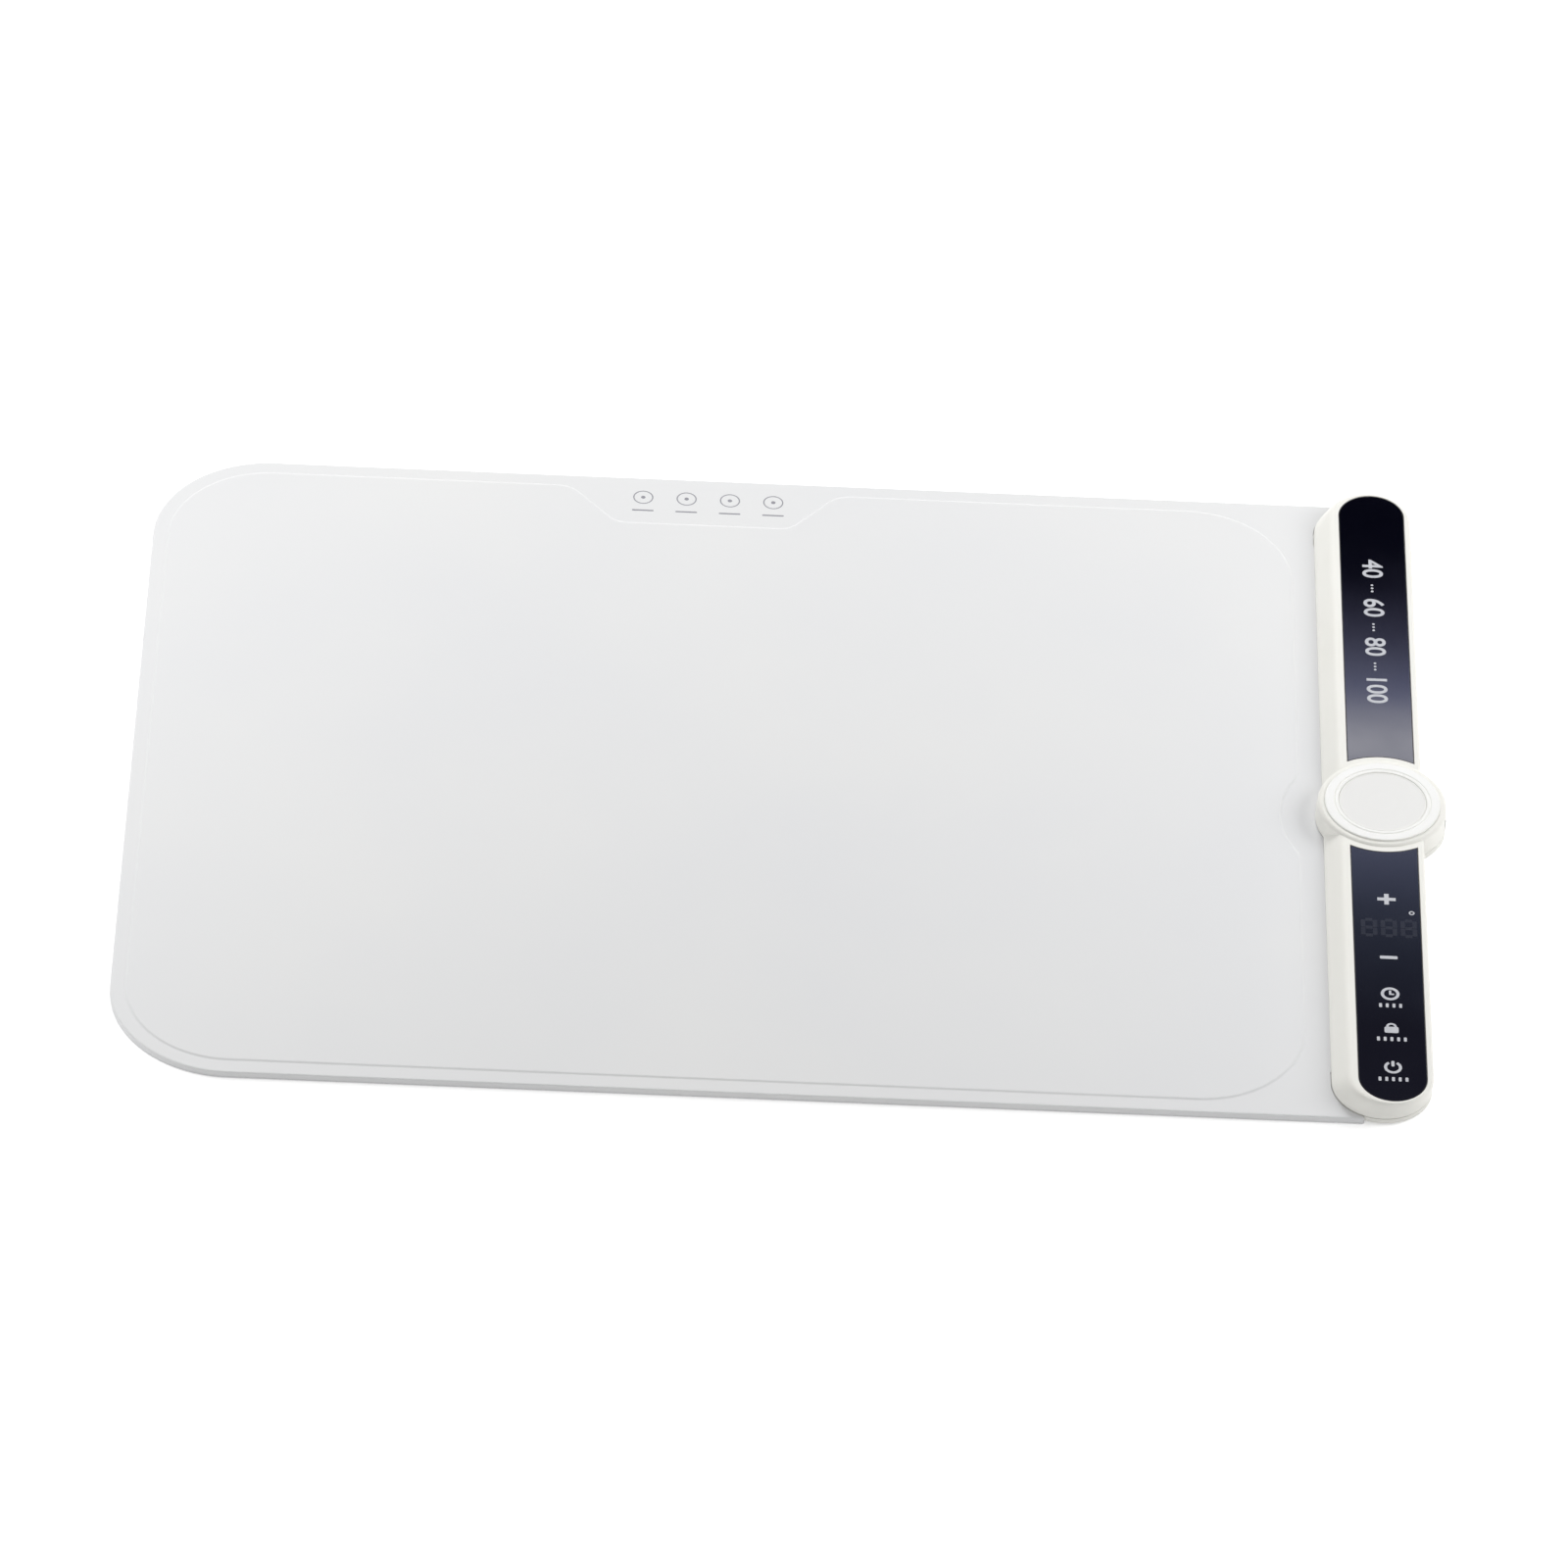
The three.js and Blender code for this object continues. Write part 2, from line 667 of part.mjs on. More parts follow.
// The track runs to and fro along X, with a bus on the bar side that brings both ends to the
// middle. The number of run pairs is odd, which leaves the middle gap open towards the bar.
const trackLeft = matLeft + sealWidth + sheetClearance + trackMargin + trackWidth / 2;
const busX = sheetRight - trackMargin - trackWidth / 2;
const turnX = busX - trackWidth - busGap;
const trackField = matDepth - 2 * (sealWidth + sheetClearance + trackMargin) - trackWidth;
const pairsThatFit = Math.floor((Math.floor(trackField / trackPitch) + 1) / 2);
const trackPairs = pairsThatFit % 2 === 1 ? pairsThatFit : pairsThatFit - 1;
const trackRuns = 2 * trackPairs;
const runY = (run) => ((trackRuns - 1) / 2 - run) * trackPitch;

function heatingTrack() {
  const turn = trackPitch / 2;
  const corner = (x, y, r = turn) => ({ x, y, r });
  const terminalEnd = sheetRight - sheetClearance;
  const route = [
    corner(terminalEnd, terminalOffset),
    corner(busX, terminalOffset, terminalCornerRadius),
  ];
  for (let run = 0; run < trackRuns; run++) {
    const goesLeft = run % 2 === 0;
    const start = run === 0 ? busX : goesLeft ? turnX : trackLeft;
    const end = run === trackRuns - 1 ? busX : goesLeft ? trackLeft : turnX;
    route.push(corner(start, runY(run)), corner(end, runY(run)));
  }
  route.push(
    corner(busX, -terminalOffset, terminalCornerRadius),
    corner(terminalEnd, -terminalOffset),
  );
  return strip(route, trackWidth, trackBottom, trackTop);
}
add("heating_track", heatingTrack(), etchedAlloy);

// The sensor lies between the two middle runs, on the film, in a window of the spreader.
const sensorRight = -sensorOffset;
const sensorLeft = sensorRight - thermistorLength;
add(
  "thermistor",
  box(sensorLeft, sensorRight, -thermistorWidth / 2, thermistorWidth / 2, trackBottom, spreaderTop),
  chipBlack,
);

function heatSpreader() {
  const right = busX - trackWidth / 2;
  const window = box(
    sensorLeft - thermistorWindowClearance, sensorRight + thermistorWindowClearance,
    -thermistorWidth / 2 - thermistorWindowClearance, thermistorWidth / 2 + thermistorWindowClearance,
    spreaderBottom - overrun, spreaderTop + overrun,
  );
  const leadEnd = box(
    right, sheetRight + overrun, -halfDepth, halfDepth,
    spreaderBottom - overrun, spreaderTop + overrun,
  );
  return cut(prism(roundedOutline(sheetCorners), spreaderBottom, spreaderTop), [window, leadEnd]);
}
add("heat_spreader_foil", heatSpreader(), aluminiumFoil);

// Leads from the mat into the bar. The near heater lead turns along the bar's floor towards
// the power board.
const leadEndX = tongueEnd + boardGapToTongue + leadWidth;
const leadTurnX = tongueEnd + boardGapToTongue;
const terminalX = sheetRight - sheetClearance - terminalLength;
const lead = (x, y) => ({ x, y, r: leadCornerRadius });
add(
  "heater_lead_far",
  strip([lead(terminalX, terminalOffset), lead(leadEndX, terminalOffset)],
    leadWidth, spreaderBottom, spreaderTop),
  copper,
);
add(
  "heater_lead_near",
  strip(
    [
      lead(terminalX, -terminalOffset),
      lead(leadTurnX, -terminalOffset),
      lead(leadTurnX, powerBoardFrom + leadWidth),
    ],
    leadWidth, spreaderBottom, spreaderTop,
  ),
  copper,
);
for (const [name, side] of [["sensor_lead_far", 1], ["sensor_lead_near", -1]]) {
  const y = (side * sensorLeadSpacing) / 2;
  add(
    name,
    box(sensorRight + sheetGap, tongueEnd + contactGap, y - sensorLeadWidth / 2,
      y + sensorLeadWidth / 2, trackBottom, trackTop),
    copper,
  );
}

// Clamp strip that holds the tongue on the base
const clampBottom = tongueTop + contactGap;
const clampTop = clampBottom + clampThickness;
const clampHalfLength = tongueHalfWidth - clampEndMargin;
const clampPlate = prism(
  roundedOutline(rectangleCorners(
    barLeft + clampInset, barLeft + clampInset + clampWidth,
    -clampHalfLength, clampHalfLength, hiddenCornerRadius,
  )),
  clampBottom, clampTop,
);
const clampHoles = pegPlaces.map((y) =>
  cylinder(
    screwShankRadius + screwClearance, pegX, y, clampBottom - overrun, clampTop + overrun, screwSegments,
  ),
);
add("mat_clamp_strip", cut(clampPlate, clampHoles), springSteel);
pegPlaces.forEach((y, i) =>
  add("clamp_screw_" + (i + 1), screw(pegX, y, clampTop + contactGap, clampScrewLength, true), zincPlate),
);

// Bar housing

const stadiumCentreX = (barLeft + barRight) / 2;
const housingScrewPlaces = [
  [stadiumCentreX, halfDepth - endScrewInset],
  [stadiumCentreX, -halfDepth + endScrewInset],
  [barRight - screwBossInset, halfDepth * sideScrewShare],
  [barRight - screwBossInset, -halfDepth * sideScrewShare],
];
const inletWayHalf = inletHalfWidth + contactGap;
const inletScrewPlaces = [1, -1].map((side) => [
  bossBack - inletScrewFromBack,
  bossY + side * (inletWayHalf + inletScrewGap),
]);
const allScrewPlaces = [...housingScrewPlaces, ...inletScrewPlaces];
const footPlaces = [
  [barLeft + footInset, footOffset],
  [barRight - footInset, footOffset],
  [barLeft + footInset, -footOffset],
  [barRight - footInset, -footOffset],
];
const counterboreTop = seamBottom - counterboreLedge;
const inletMiddleZ = (floorTop + bossCeiling) / 2;
const inletHalfHeight = (bossCeiling - floorTop) / 2 - contactGap;

// Places of the posts that carry the two boards
const boardLeft = tongueEnd + boardGapToTongue;
const boardRight = boardLeft + boardWidth;
const boardBottomZ = floorTop + powerBoardPost + contactGap;
const boardTopZ = boardBottomZ + boardThickness;
const controlTopZ = ceiling - controlBoardDrop - contactGap;
const controlBottomZ = controlTopZ - boardThickness;
const powerPosts = [
  [boardRight - rightPostAcross, powerBoardFrom + postAlong],
  [boardLeft + leftPostAcross, powerBoardTo - postAlong],
];
const controlPosts = [
  [boardRight - rightPostAcross, -controlBoardStart - postAlong],
  [boardLeft + leftPostAcross, -controlBoardEnd + postAlong],
];

// The boss's plan inside the housing, cut off at its flat back.
function bossPlan(radius, z0, z1, fromX) {
  const round = cylinder(radius, panelCentreX, bossY, z0, z1);
  const behind = box(
    bossBack - (bossRadius - radius), bossBack + bossRadius,
    bossY - bossRadius, bossY + bossRadius, z0 - overrun, z1 + overrun,
  );
  const before = box(
    panelCentreX - 2 * bossRadius, fromX,
    bossY - 2 * bossRadius, bossY + 2 * bossRadius, z0 - overrun, z1 + overrun,
  );
  return cut(round, [behind, before]);
}

function housingBase() {
  const edge = fillet(baseEdgeRound, edgeSteps).reverse();
  const tray = loft([
    ...edge.map(({ inset, rise }) => ({
      outline: barFootprint(-inset),
      z: floorBottom + baseEdgeRound - rise,
    })),
    { outline: barFootprint(0), z: seamBottom },
  ]);
  const outer = tray.add(bossPlan(bossRadius, floorBottom, seamBottom, stadiumCentreX));
  const innerStadium = prism(barFootprint(-wallThickness), floorTop, seamBottom + overrun);
  const innerBoss = bossPlan(
    bossRadius - wallThickness, floorTop, seamBottom + overrun, stadiumCentreX,
  );
  const tongueWay = box(
    barLeft - overrun, tongueEnd + contactGap,
    -tongueHalfWidth - contactGap, tongueHalfWidth + contactGap, floorTop, seamBottom + overrun,
  );
  const inletWay = box(
    bossBack - inletDepth, bossBack + overrun,
    bossY - inletWayHalf, bossY + inletWayHalf,
    floorTop, seamBottom + overrun,
  );
  const pillars = allScrewPlaces.map(([x, y]) =>
    cylinder(pillarRadius, x, y, floorBottom + baseEdgeRound, seamBottom, pinSegments),
  );
  const pegs = pegPlaces.map((y) =>
    cylinder(pegRadius, pegX, y, floorBottom + baseEdgeRound, tongueTop, pinSegments),
  );
  const posts = powerPosts.map(([x, y]) =>
    cylinder(postRadius, x, y, floorBottom + baseEdgeRound, floorTop + powerBoardPost, pinSegments),
  );
  const bores = allScrewPlaces.flatMap(([x, y]) => [
    cylinder(
      screwHeadRadius + screwClearance, x, y, floorBottom - overrun, counterboreTop, screwSegments,
    ),
    cylinder(
      screwShankRadius + screwClearance, x, y, floorBottom, seamBottom + overrun, screwSegments,
    ),
  ]);
  const blind = (x, y) => cylinder(
    screwShankRadius + screwClearance, x, y,
    floorBottom + blindFloor, barHeight, screwSegments,
  );
  const pilots = [...pegPlaces.map((y) => [pegX, y]), ...powerPosts].map(([x, y]) => blind(x, y));
  const recesses = footPlaces.map(([x, y]) =>
    cylinder(
      footRadius + footClearance, x, y, floorBottom - overrun, floorBottom + footRecess, footSegments,
    ),
  );
  const hollow = cut(outer, [innerStadium, innerBoss, tongueWay, inletWay]);
  return cut(join([hollow, ...pillars, ...pegs, ...posts]), [...bores, ...pilots, ...recesses]);
}
add("housing_base", housingBase(), creamPlastic);

// The bar's outside at a level: how far in the left flank, the right side and the ends stand.
function barRing(left, right, end, z) {
  return { outline: stadium(barLeft + left, barRight - right, halfDepth - end), z };
}

function housingShell() {
  const shoulderZ = barHeight - flankShoulderDrop;
  const steps = fillet(1);
  const outerRings = [
    barRing(0, 0, 0, seamTop),
    barRing(flankFoot, 0, 0, seamTop + flankFootHeight),
    ...steps.map(({ inset, rise }) =>
      barRing(
        flankShoulder + (flankTop - flankShoulder) * inset,
        rightTop * inset,
        endTop * inset,
        barHeight - topFilletDrop + Math.min(topFilletDrop, flankShoulderDrop) * rise,
      ),
    ),
  ];
  const innerShoulder = flankShoulder + wallThickness;
  const innerRings = [
    barRing(wallThickness, wallThickness, wallThickness, seamTop - overrun),
    barRing(wallThickness, wallThickness, wallThickness, seamTop),
    barRing(flankFoot + wallThickness, wallThickness, wallThickness, seamTop + flankFootHeight),
    barRing(innerShoulder, wallThickness, wallThickness, Math.min(ceiling, shoulderZ)),
  ];
  if (ceiling > shoulderZ)
    innerRings.push(barRing(innerShoulder, wallThickness, wallThickness, ceiling));
  return { outer: loft(outerRings), inner: loft(innerRings) };
}

// The boss with its drafted skirt and rounded shoulder, cut off at its flat back.
function bossSolid() {
  const shoulder = bossRadius - bossTopInset;
  const skirt = turned(
    [
      [0, seamTop],
      [bossRadius, seamTop],
      ...fillet(bossFillet).map(({ inset, rise }) => [shoulder - inset, bossTop - bossFillet + rise]),
      [0, bossTop],
    ],
    panelCentreX,
    bossY,
  );
  const behind = box(
    bossBack, bossBack + bossRadius, bossY - bossRadius, bossY + bossRadius,
    seamTop - overrun, bossTop + overrun,
  );
  return cut(skirt, [behind]);
}

// The front or rear half of the panel's outline as a prism, kept off the boss.
function panelPrism(clearance, z0, z1, rear) {
  const outline = stadium(
    panelCentreX - panelWidth / 2 - clearance,
    panelCentreX + panelWidth / 2 + clearance,
    panelHalfLength + clearance,
  );
  const arc = cylinder(panelArcRadius - clearance, panelCentreX, bossY, z0 - overrun, z1 + overrun);
  const y0 = rear ? -halfDepth - overrun : bossY;
  const y1 = rear ? bossY : halfDepth + overrun;
  const otherHalf = box(barLeft, barRight, y0, y1, z0 - overrun, z1 + overrun);
  return cut(prism(outline, z0, z1), [arc, otherHalf]);
}

function upperHousing() {
  const { outer, inner } = housingShell();
  const bossInner = bossPlan(
    bossRadius - bossTopInset - wallThickness, seamTop - overrun, bossCeiling, barLeft - bossRadius,
  );
  const bossKeep = bossSolid();
  const shell = cut(outer.add(bossKeep), [inner, bossInner]);
  const postTop = ceiling + overrun / 2;
  const screwBoss = (roof) => ([x, y]) =>
    cylinder(screwBossRadius, x, y, seamTop, roof + overrun / 2, pinSegments);
  const screwBosses = [
    ...housingScrewPlaces.map(screwBoss(ceiling)),
    ...inletScrewPlaces.map(screwBoss(bossCeiling)),
  ];
  const posts = controlPosts.map(([x, y]) =>
    cylinder(postRadius, x, y, controlTopZ + contactGap, postTop, pinSegments),
  );
  const ringSeatCut = cylinder(
    ringRadius + ringClearance, panelCentreX, bossY, ringSeat, bossTop + overrun,
  );
  const recesses = [true, false].map((rear) =>
    panelPrism(panelClearance, bedTop, barHeight + bossRise + overrun, rear),
  );
  const padHoles = keyPlaces.map(([, y]) =>
    cylinder(padRadius + padHoleClearance, panelCentreX, y, ceiling - overrun, barHeight, pinSegments),
  );
  const displayWindow = box(
    panelCentreX - displayLength / 2 - displayClearance,
    panelCentreX + displayLength / 2 + displayClearance,
    displayY - displayWidth / 2 - displayClearance,
    displayY + displayWidth / 2 + displayClearance,
    ceiling - overrun, barHeight,
  );
  const inletWay = box(
    bossBack - inletDepth, bossBack + overrun,
    bossY - inletWayHalf, bossY + inletWayHalf,
    seamTop - overrun, inletMiddleZ + inletHalfHeight + contactGap,
  );
  const pilots = [
    ...allScrewPlaces.map(([x, y]) =>
      cylinder(screwShankRadius + screwClearance, x, y, seamTop - overrun, ceiling, screwSegments),
    ),
    ...controlPosts.map(([x, y]) =>
      cylinder(
        screwShankRadius + screwClearance, x, y,
        controlTopZ - overrun, controlBottomZ - contactGap + boardScrewLength + contactGap, screwSegments,
      ),
    ),
  ];
  return cut(join([shell, ...screwBosses, ...posts]), [
    ringSeatCut, ...recesses, ...padHoles, displayWindow, inletWay, ...pilots,
  ]);
}

// What the boss holds behind the bar's right side is a cover of its own, which closes over
// the inlet.
const upper = upperHousing();
const behindBar = (fromX) =>
  box(
    fromX, bossBack + overrun,
    bossY - bossRadius - overrun, bossY + bossRadius + overrun,
    seamTop - overrun, bossTop + overrun,
  );
add("housing_top", cut(upper, [behindBar(barRight)]), creamPlastic);
add("inlet_cover", upper.intersect(behindBar(barRight + contactGap)), creamPlastic);

allScrewPlaces.forEach(([x, y], i) =>
  add(
    "housing_screw_" + (i + 1),
    screw(x, y, counterboreTop - screwClearance, housingScrewLength, false),
    zincPlate,
  ),
);

["far_left", "far_right", "near_left", "near_right"].forEach((name, i) => {
  const [x, y] = footPlaces[i];
  const top = floorBottom + footRecess - footClearance;
  add("foot_" + name, cylinder(footRadius, x, y, 0, top, footSegments), footRubber);
});

// Panel pieces, ring and disc

add("rear_panel", panelPrism(0, panelBottom, panelTop, true), blackGlass);
add("front_panel", panelPrism(0, panelBottom, panelTop, false), blackGlass);

const ringInner = discRadius + discClearance;
const groove0 = ringInner + ringInnerLip;
const groove1 = groove0 + ringGrooveWidth;
const ring = turned(
  [
    [ringInner, ringBottom],
    [ringRadius, ringBottom],
    ...fillet(ringEdgeRound).map(({ inset, rise }) => [
      ringRadius - inset,
      ringTop - ringEdgeRound + rise,
    ]),
    [groove1, ringTop],
    [(groove0 + groove1) / 2, ringTop - ringGrooveDepth],
    [groove0, ringTop],
    [ringInner, ringTop],
    [ringInner, ringBottom],
  ],
  panelCentreX,
  bossY,
);
add("medallion_ring", ring, whitePlastic);

const discTop = ringTop - discSetback;
const disc = turned(
  [
    [0, ringBottom],
    [discRadius, ringBottom],
    ...fillet(discEdgeRound).map(({ inset, rise }) => [
      discRadius - inset,
      discTop - discEdgeRound + rise,
    ]),
    [0, discTop],
  ],
  panelCentreX,
  bossY,
);
add("medallion_disc", disc, spunMetal);

// Power inlet

function powerInlet() {
  const face = roundedOutline(rectangleCorners(
    -inletHalfWidth, inletHalfWidth, -inletHalfHeight, inletHalfHeight, inletCornerRadius,
  ));
  const mouthHalf = inletHalfHeight - inletWall;
  const mouth = roundedOutline(rectangleCorners(
    -inletHalfWidth + inletWall, inletHalfWidth - inletWall, -mouthHalf, mouthHalf, mouthHalf,
  ));
  const stand = (outline, x0, x1) => {
    const shape = new THREE.Shape(outline);
    const geometry = new THREE.ExtrudeGeometry(shape, { depth: x1 - x0, bevelEnabled: false });
    geometry.rotateX(Math.PI / 2);
    geometry.rotateZ(Math.PI / 2);
    geometry.translate(x0, bossY, inletMiddleZ);
    return toSolid(geometry);
  };
  const back = bossBack - inletDepth;
  const pinHoles = [-1, 1].map((side) =>
    lyingCylinder(
      inletPinRadius + inletPinHoleClearance, "x", back - overrun, back + inletBackWall + overrun,
      bossY + (side * inletPinSpacing) / 2, inletMiddleZ,
    ),
  );
  return cut(stand(face, back, bossBack), [
    stand(mouth, back + inletBackWall, bossBack + overrun),
    ...pinHoles,
  ]);
}
add("power_inlet", powerInlet(), blackNylon);

const inletBack = bossBack - inletDepth;
const pinTailX = inletBack - inletPinTail;
[["inlet_pin_far", 1], ["inlet_pin_near", -1]].forEach(([name, side]) =>
  add(
    name,
    lyingCylinder(
      inletPinRadius, "x", pinTailX, bossBack - inletPinSetback,
      bossY + (side * inletPinSpacing) / 2, inletMiddleZ,
    ),
    brassPin,
  ),
);

// Wires from the inlet's pins to the power board, side by side.
const wireEndY = powerBoardFrom + wireRadius;
const wireEndZ = boardTopZ + contactGap + wireRadius;
[["inlet_wire_far", 1, 1], ["inlet_wire_near", -1, 2]].forEach(([name, side, lane]) => {
  const startX = pinTailX - contactGap;
  const startY = bossY + (side * inletPinSpacing) / 2;
  const laneX = startX - lane * wireSpacing;
  const points = [
    new THREE.Vector3(startX, startY, inletMiddleZ),
    new THREE.Vector3(startX - wireSpacing / 2, startY, inletMiddleZ),
    new THREE.Vector3(laneX, startY + 2 * wireSpacing, inletMiddleZ),
    new THREE.Vector3(laneX, (startY + wireEndY) / 2 + wireSpacing, (inletMiddleZ + wireEndZ) / 2),
    new THREE.Vector3(laneX, wireEndY - wireSpacing, wireEndZ),
    new THREE.Vector3(laneX, wireEndY, wireEndZ),
  ];
  add(name, wire(points, wireRadius, wireSteps), wireSleeve);
});

// Boards

function board(y0, y1, z0, z1, posts) {
  const plate = prism(
    roundedOutline(rectangleCorners(boardLeft, boardRight, y0, y1, hiddenCornerRadius)), z0, z1,
  );
  const holes = posts.map(([x, y]) =>
    cylinder(screwShankRadius + boardHoleClearance, x, y, z0 - overrun, z1 + overrun, screwSegments),
  );
  return cut(plate, holes);
}
add(
  "power_board",
  board(powerBoardFrom, powerBoardTo, boardBottomZ, boardTopZ, powerPosts),
  boardGreen,
);
add(
  "control_board",
  board(-controlBoardEnd, -controlBoardStart, controlBottomZ, controlTopZ, controlPosts),
  boardGreen,
);
powerPosts.forEach(([x, y], i) =>
  add(
    "power_board_screw_" + (i + 1),
    screw(x, y, boardTopZ + contactGap, boardScrewLength, true),
    zincPlate,
  ),
);
controlPosts.forEach(([x, y], i) =>
  add(
    "control_board_screw_" + (i + 1),
    screw(x, y, controlBottomZ - contactGap, boardScrewLength, false),
    zincPlate,
  ),
);

// Touch pads and display, between the control board and the panel
const padBottom = controlTopZ + contactGap;
const padTop = panelBottom - contactGap;
keyPlaces.forEach(([name, y]) =>
  add("touch_pad_" + name, cylinder(padRadius, panelCentreX, y, padBottom, padTop, pinSegments), foamGrey),
);
add(
  "display_module",
  box(
    panelCentreX - displayLength / 2, panelCentreX + displayLength / 2,
    displayY - displayWidth / 2, displayY + displayWidth / 2, padBottom, padTop,
  ),
  displayBlack,
);

// Under the control board
const boardMiddleX = (boardLeft + boardRight) / 2;
const alongControl = (share) =>
  -controlBoardStart - (controlBoardEnd - controlBoardStart) * share;
const underBoard = controlBottomZ - contactGap;
const chipY = alongControl(chipPlaceShare);
add(
  "microcontroller",
  box(
    boardMiddleX - chipSize / 2, boardMiddleX + chipSize / 2, chipY - chipSize / 2, chipY + chipSize / 2,
    underBoard - chipThickness, underBoard,
  ),
  chipBlack,
);
const buzzerY = alongControl(buzzerPlaceShare);
const buzzerFloor = underBoard - buzzerHeight;
const buzzerHoleTop = buzzerFloor + buzzerHoleDepth;
const buzzerHole = cylinder(
  buzzerHoleRadius, boardMiddleX, buzzerY, buzzerFloor - overrun, buzzerHoleTop, pinSegments,
);
const buzzerBody = cylinder(
  buzzerRadius, boardMiddleX, buzzerY, buzzerFloor, underBoard, 2 * pinSegments,
);
add("buzzer", cut(buzzerBody, [buzzerHole]), chipBlack);

// On the power board, from the inlet's end to the far end
const onBoard = boardTopZ + contactGap;
const alongPower = (share) => powerBoardFrom + (powerBoardTo - powerBoardFrom) * share;

function mainsFuse() {
  const y = alongPower(partShares.fuse);
  const z = onBoard + fuseRadius;
  const x0 = boardMiddleX - fuseLength / 2;
  const x1 = boardMiddleX + fuseLength / 2;
  return join([
    lyingCylinder(fuseRadius, "x", x0, x0 + fuseCapLength, y, z),
    lyingCylinder(fuseRadius - fuseGlassInset, "x", x0, x1, y, z),
    lyingCylinder(fuseRadius, "x", x1 - fuseCapLength, x1, y, z),
  ]);
}
add("mains_fuse", mainsFuse(), glassTube);

const varistorY = alongPower(partShares.varistor);
add(
  "varistor",
  cylinder(varistorRadius, boardMiddleX, varistorY, onBoard, onBoard + varistorThickness, 2 * pinSegments),
  varistorBlue,
);

function transformer() {
  const y = alongPower(partShares.transformer);
  const core = (halfX, halfY, z0, z1) =>
    box(boardMiddleX - halfX, boardMiddleX + halfX, y - halfY, y + halfY, z0, z1);
  const wide = transformerWidth / 2;
  const narrow = wide - transformerFlangeProud;
  const long = transformerLength / 2;
  const top = onBoard + transformerCoreHeight;
  return join([
    core(wide, long, onBoard, onBoard + transformerFlange),
    core(narrow, long - transformerFlangeProud, onBoard, top),
    core(wide, long / 2, onBoard, top),
  ]);
}
add("transformer", transformer(), tape);

const capacitorY = alongPower(partShares.capacitor);
add(
  "smoothing_capacitor",
  lyingCylinder(
    capacitorRadius, "x", boardMiddleX - capacitorLength / 2, boardMiddleX + capacitorLength / 2,
    capacitorY, onBoard + capacitorRadius,
  ),
  capacitorSleeve,
);

const sinkY = alongPower(partShares.sink);
add(
  "triac",
  box(
    boardMiddleX - triacWidth / 2, boardMiddleX + triacWidth / 2,
    sinkY - triacLength / 2, sinkY + triacLength / 2, onBoard, onBoard + triacThickness,
  ),
  chipBlack,
);

function heatSink() {
  const z0 = onBoard + triacThickness + contactGap;
  const z1 = z0 + sinkBase;
  const y0 = sinkY - sinkLength / 2;
  const y1 = sinkY + sinkLength / 2;
  const x0 = boardMiddleX - sinkWidth / 2;
  const pitch = (sinkWidth - sinkFinWidth) / (sinkFinCount - 1);
  const fins = Array.from({ length: sinkFinCount }, (_, i) =>
    box(x0 + i * pitch, x0 + i * pitch + sinkFinWidth, y0, y1, z0, z1 + sinkFinHeight),
  );
  return join([box(x0, x0 + sinkWidth, y0, y1, z0, z1), ...fins]);
}
add("heat_sink", heatSink(), aluminiumFoil);

// The thermal fuse lies on the clamp strip, beside the far heater lead.
const thermalFuseX = barLeft + clampInset + clampWidth / 2;
add(
  "thermal_fuse",
  lyingCylinder(
    thermalFuseRadius, "y", terminalOffset - thermalFuseLength / 2, terminalOffset + thermalFuseLength / 2,
    thermalFuseX, clampTop + contactGap + thermalFuseRadius,
  ),
  springSteel,
);

// Ribbon that links the two boards, under the boss.
function boardLink() {
  const x = boardLeft + linkWidth / 2 + contactGap;
  const zStart = onBoard + linkThickness / 2;
  const zEnd = controlBottomZ - contactGap - linkThickness / 2;
  const yStart = powerBoardFrom + linkWidth;
  const yEnd = -controlBoardStart - linkWidth;
  const section = new THREE.Shape([
    new THREE.Vector2(-linkThickness / 2, -linkWidth / 2),
    new THREE.Vector2(linkThickness / 2, -linkWidth / 2),
    new THREE.Vector2(linkThickness / 2, linkWidth / 2),
    new THREE.Vector2(-linkThickness / 2, linkWidth / 2),
  ]);
  const level = linkTabLength;
  const path = new THREE.CubicBezierCurve3(
    new THREE.Vector3(x, yStart - level, zStart),
    new THREE.Vector3(x, 0, zStart),
    new THREE.Vector3(x, 0, zEnd),
    new THREE.Vector3(x, yEnd + level, zEnd),
  );
  const options = { extrudePath: path, steps: wideArcSteps, bevelEnabled: false };
  const middle = toSolid(new THREE.ExtrudeGeometry(section, options));
  const tab = (y0, y1, z) =>
    box(x - linkWidth / 2, x + linkWidth / 2, y0, y1, z - linkThickness / 2, z + linkThickness / 2);
  return join([middle, tab(yStart - level, yStart, zStart), tab(yEnd, yEnd + level, zEnd)]);
}
add("board_link_cable", boardLink(), wireSleeve);

export default assembly;
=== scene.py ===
# Looks of the food warming mat: a thin silicone mat with a control bar along its right side.
# Shapes are drawn in millimetres and brought to metres when a piece is finished.
import math

import bmesh
import bpy
from mathutils import Matrix, Vector


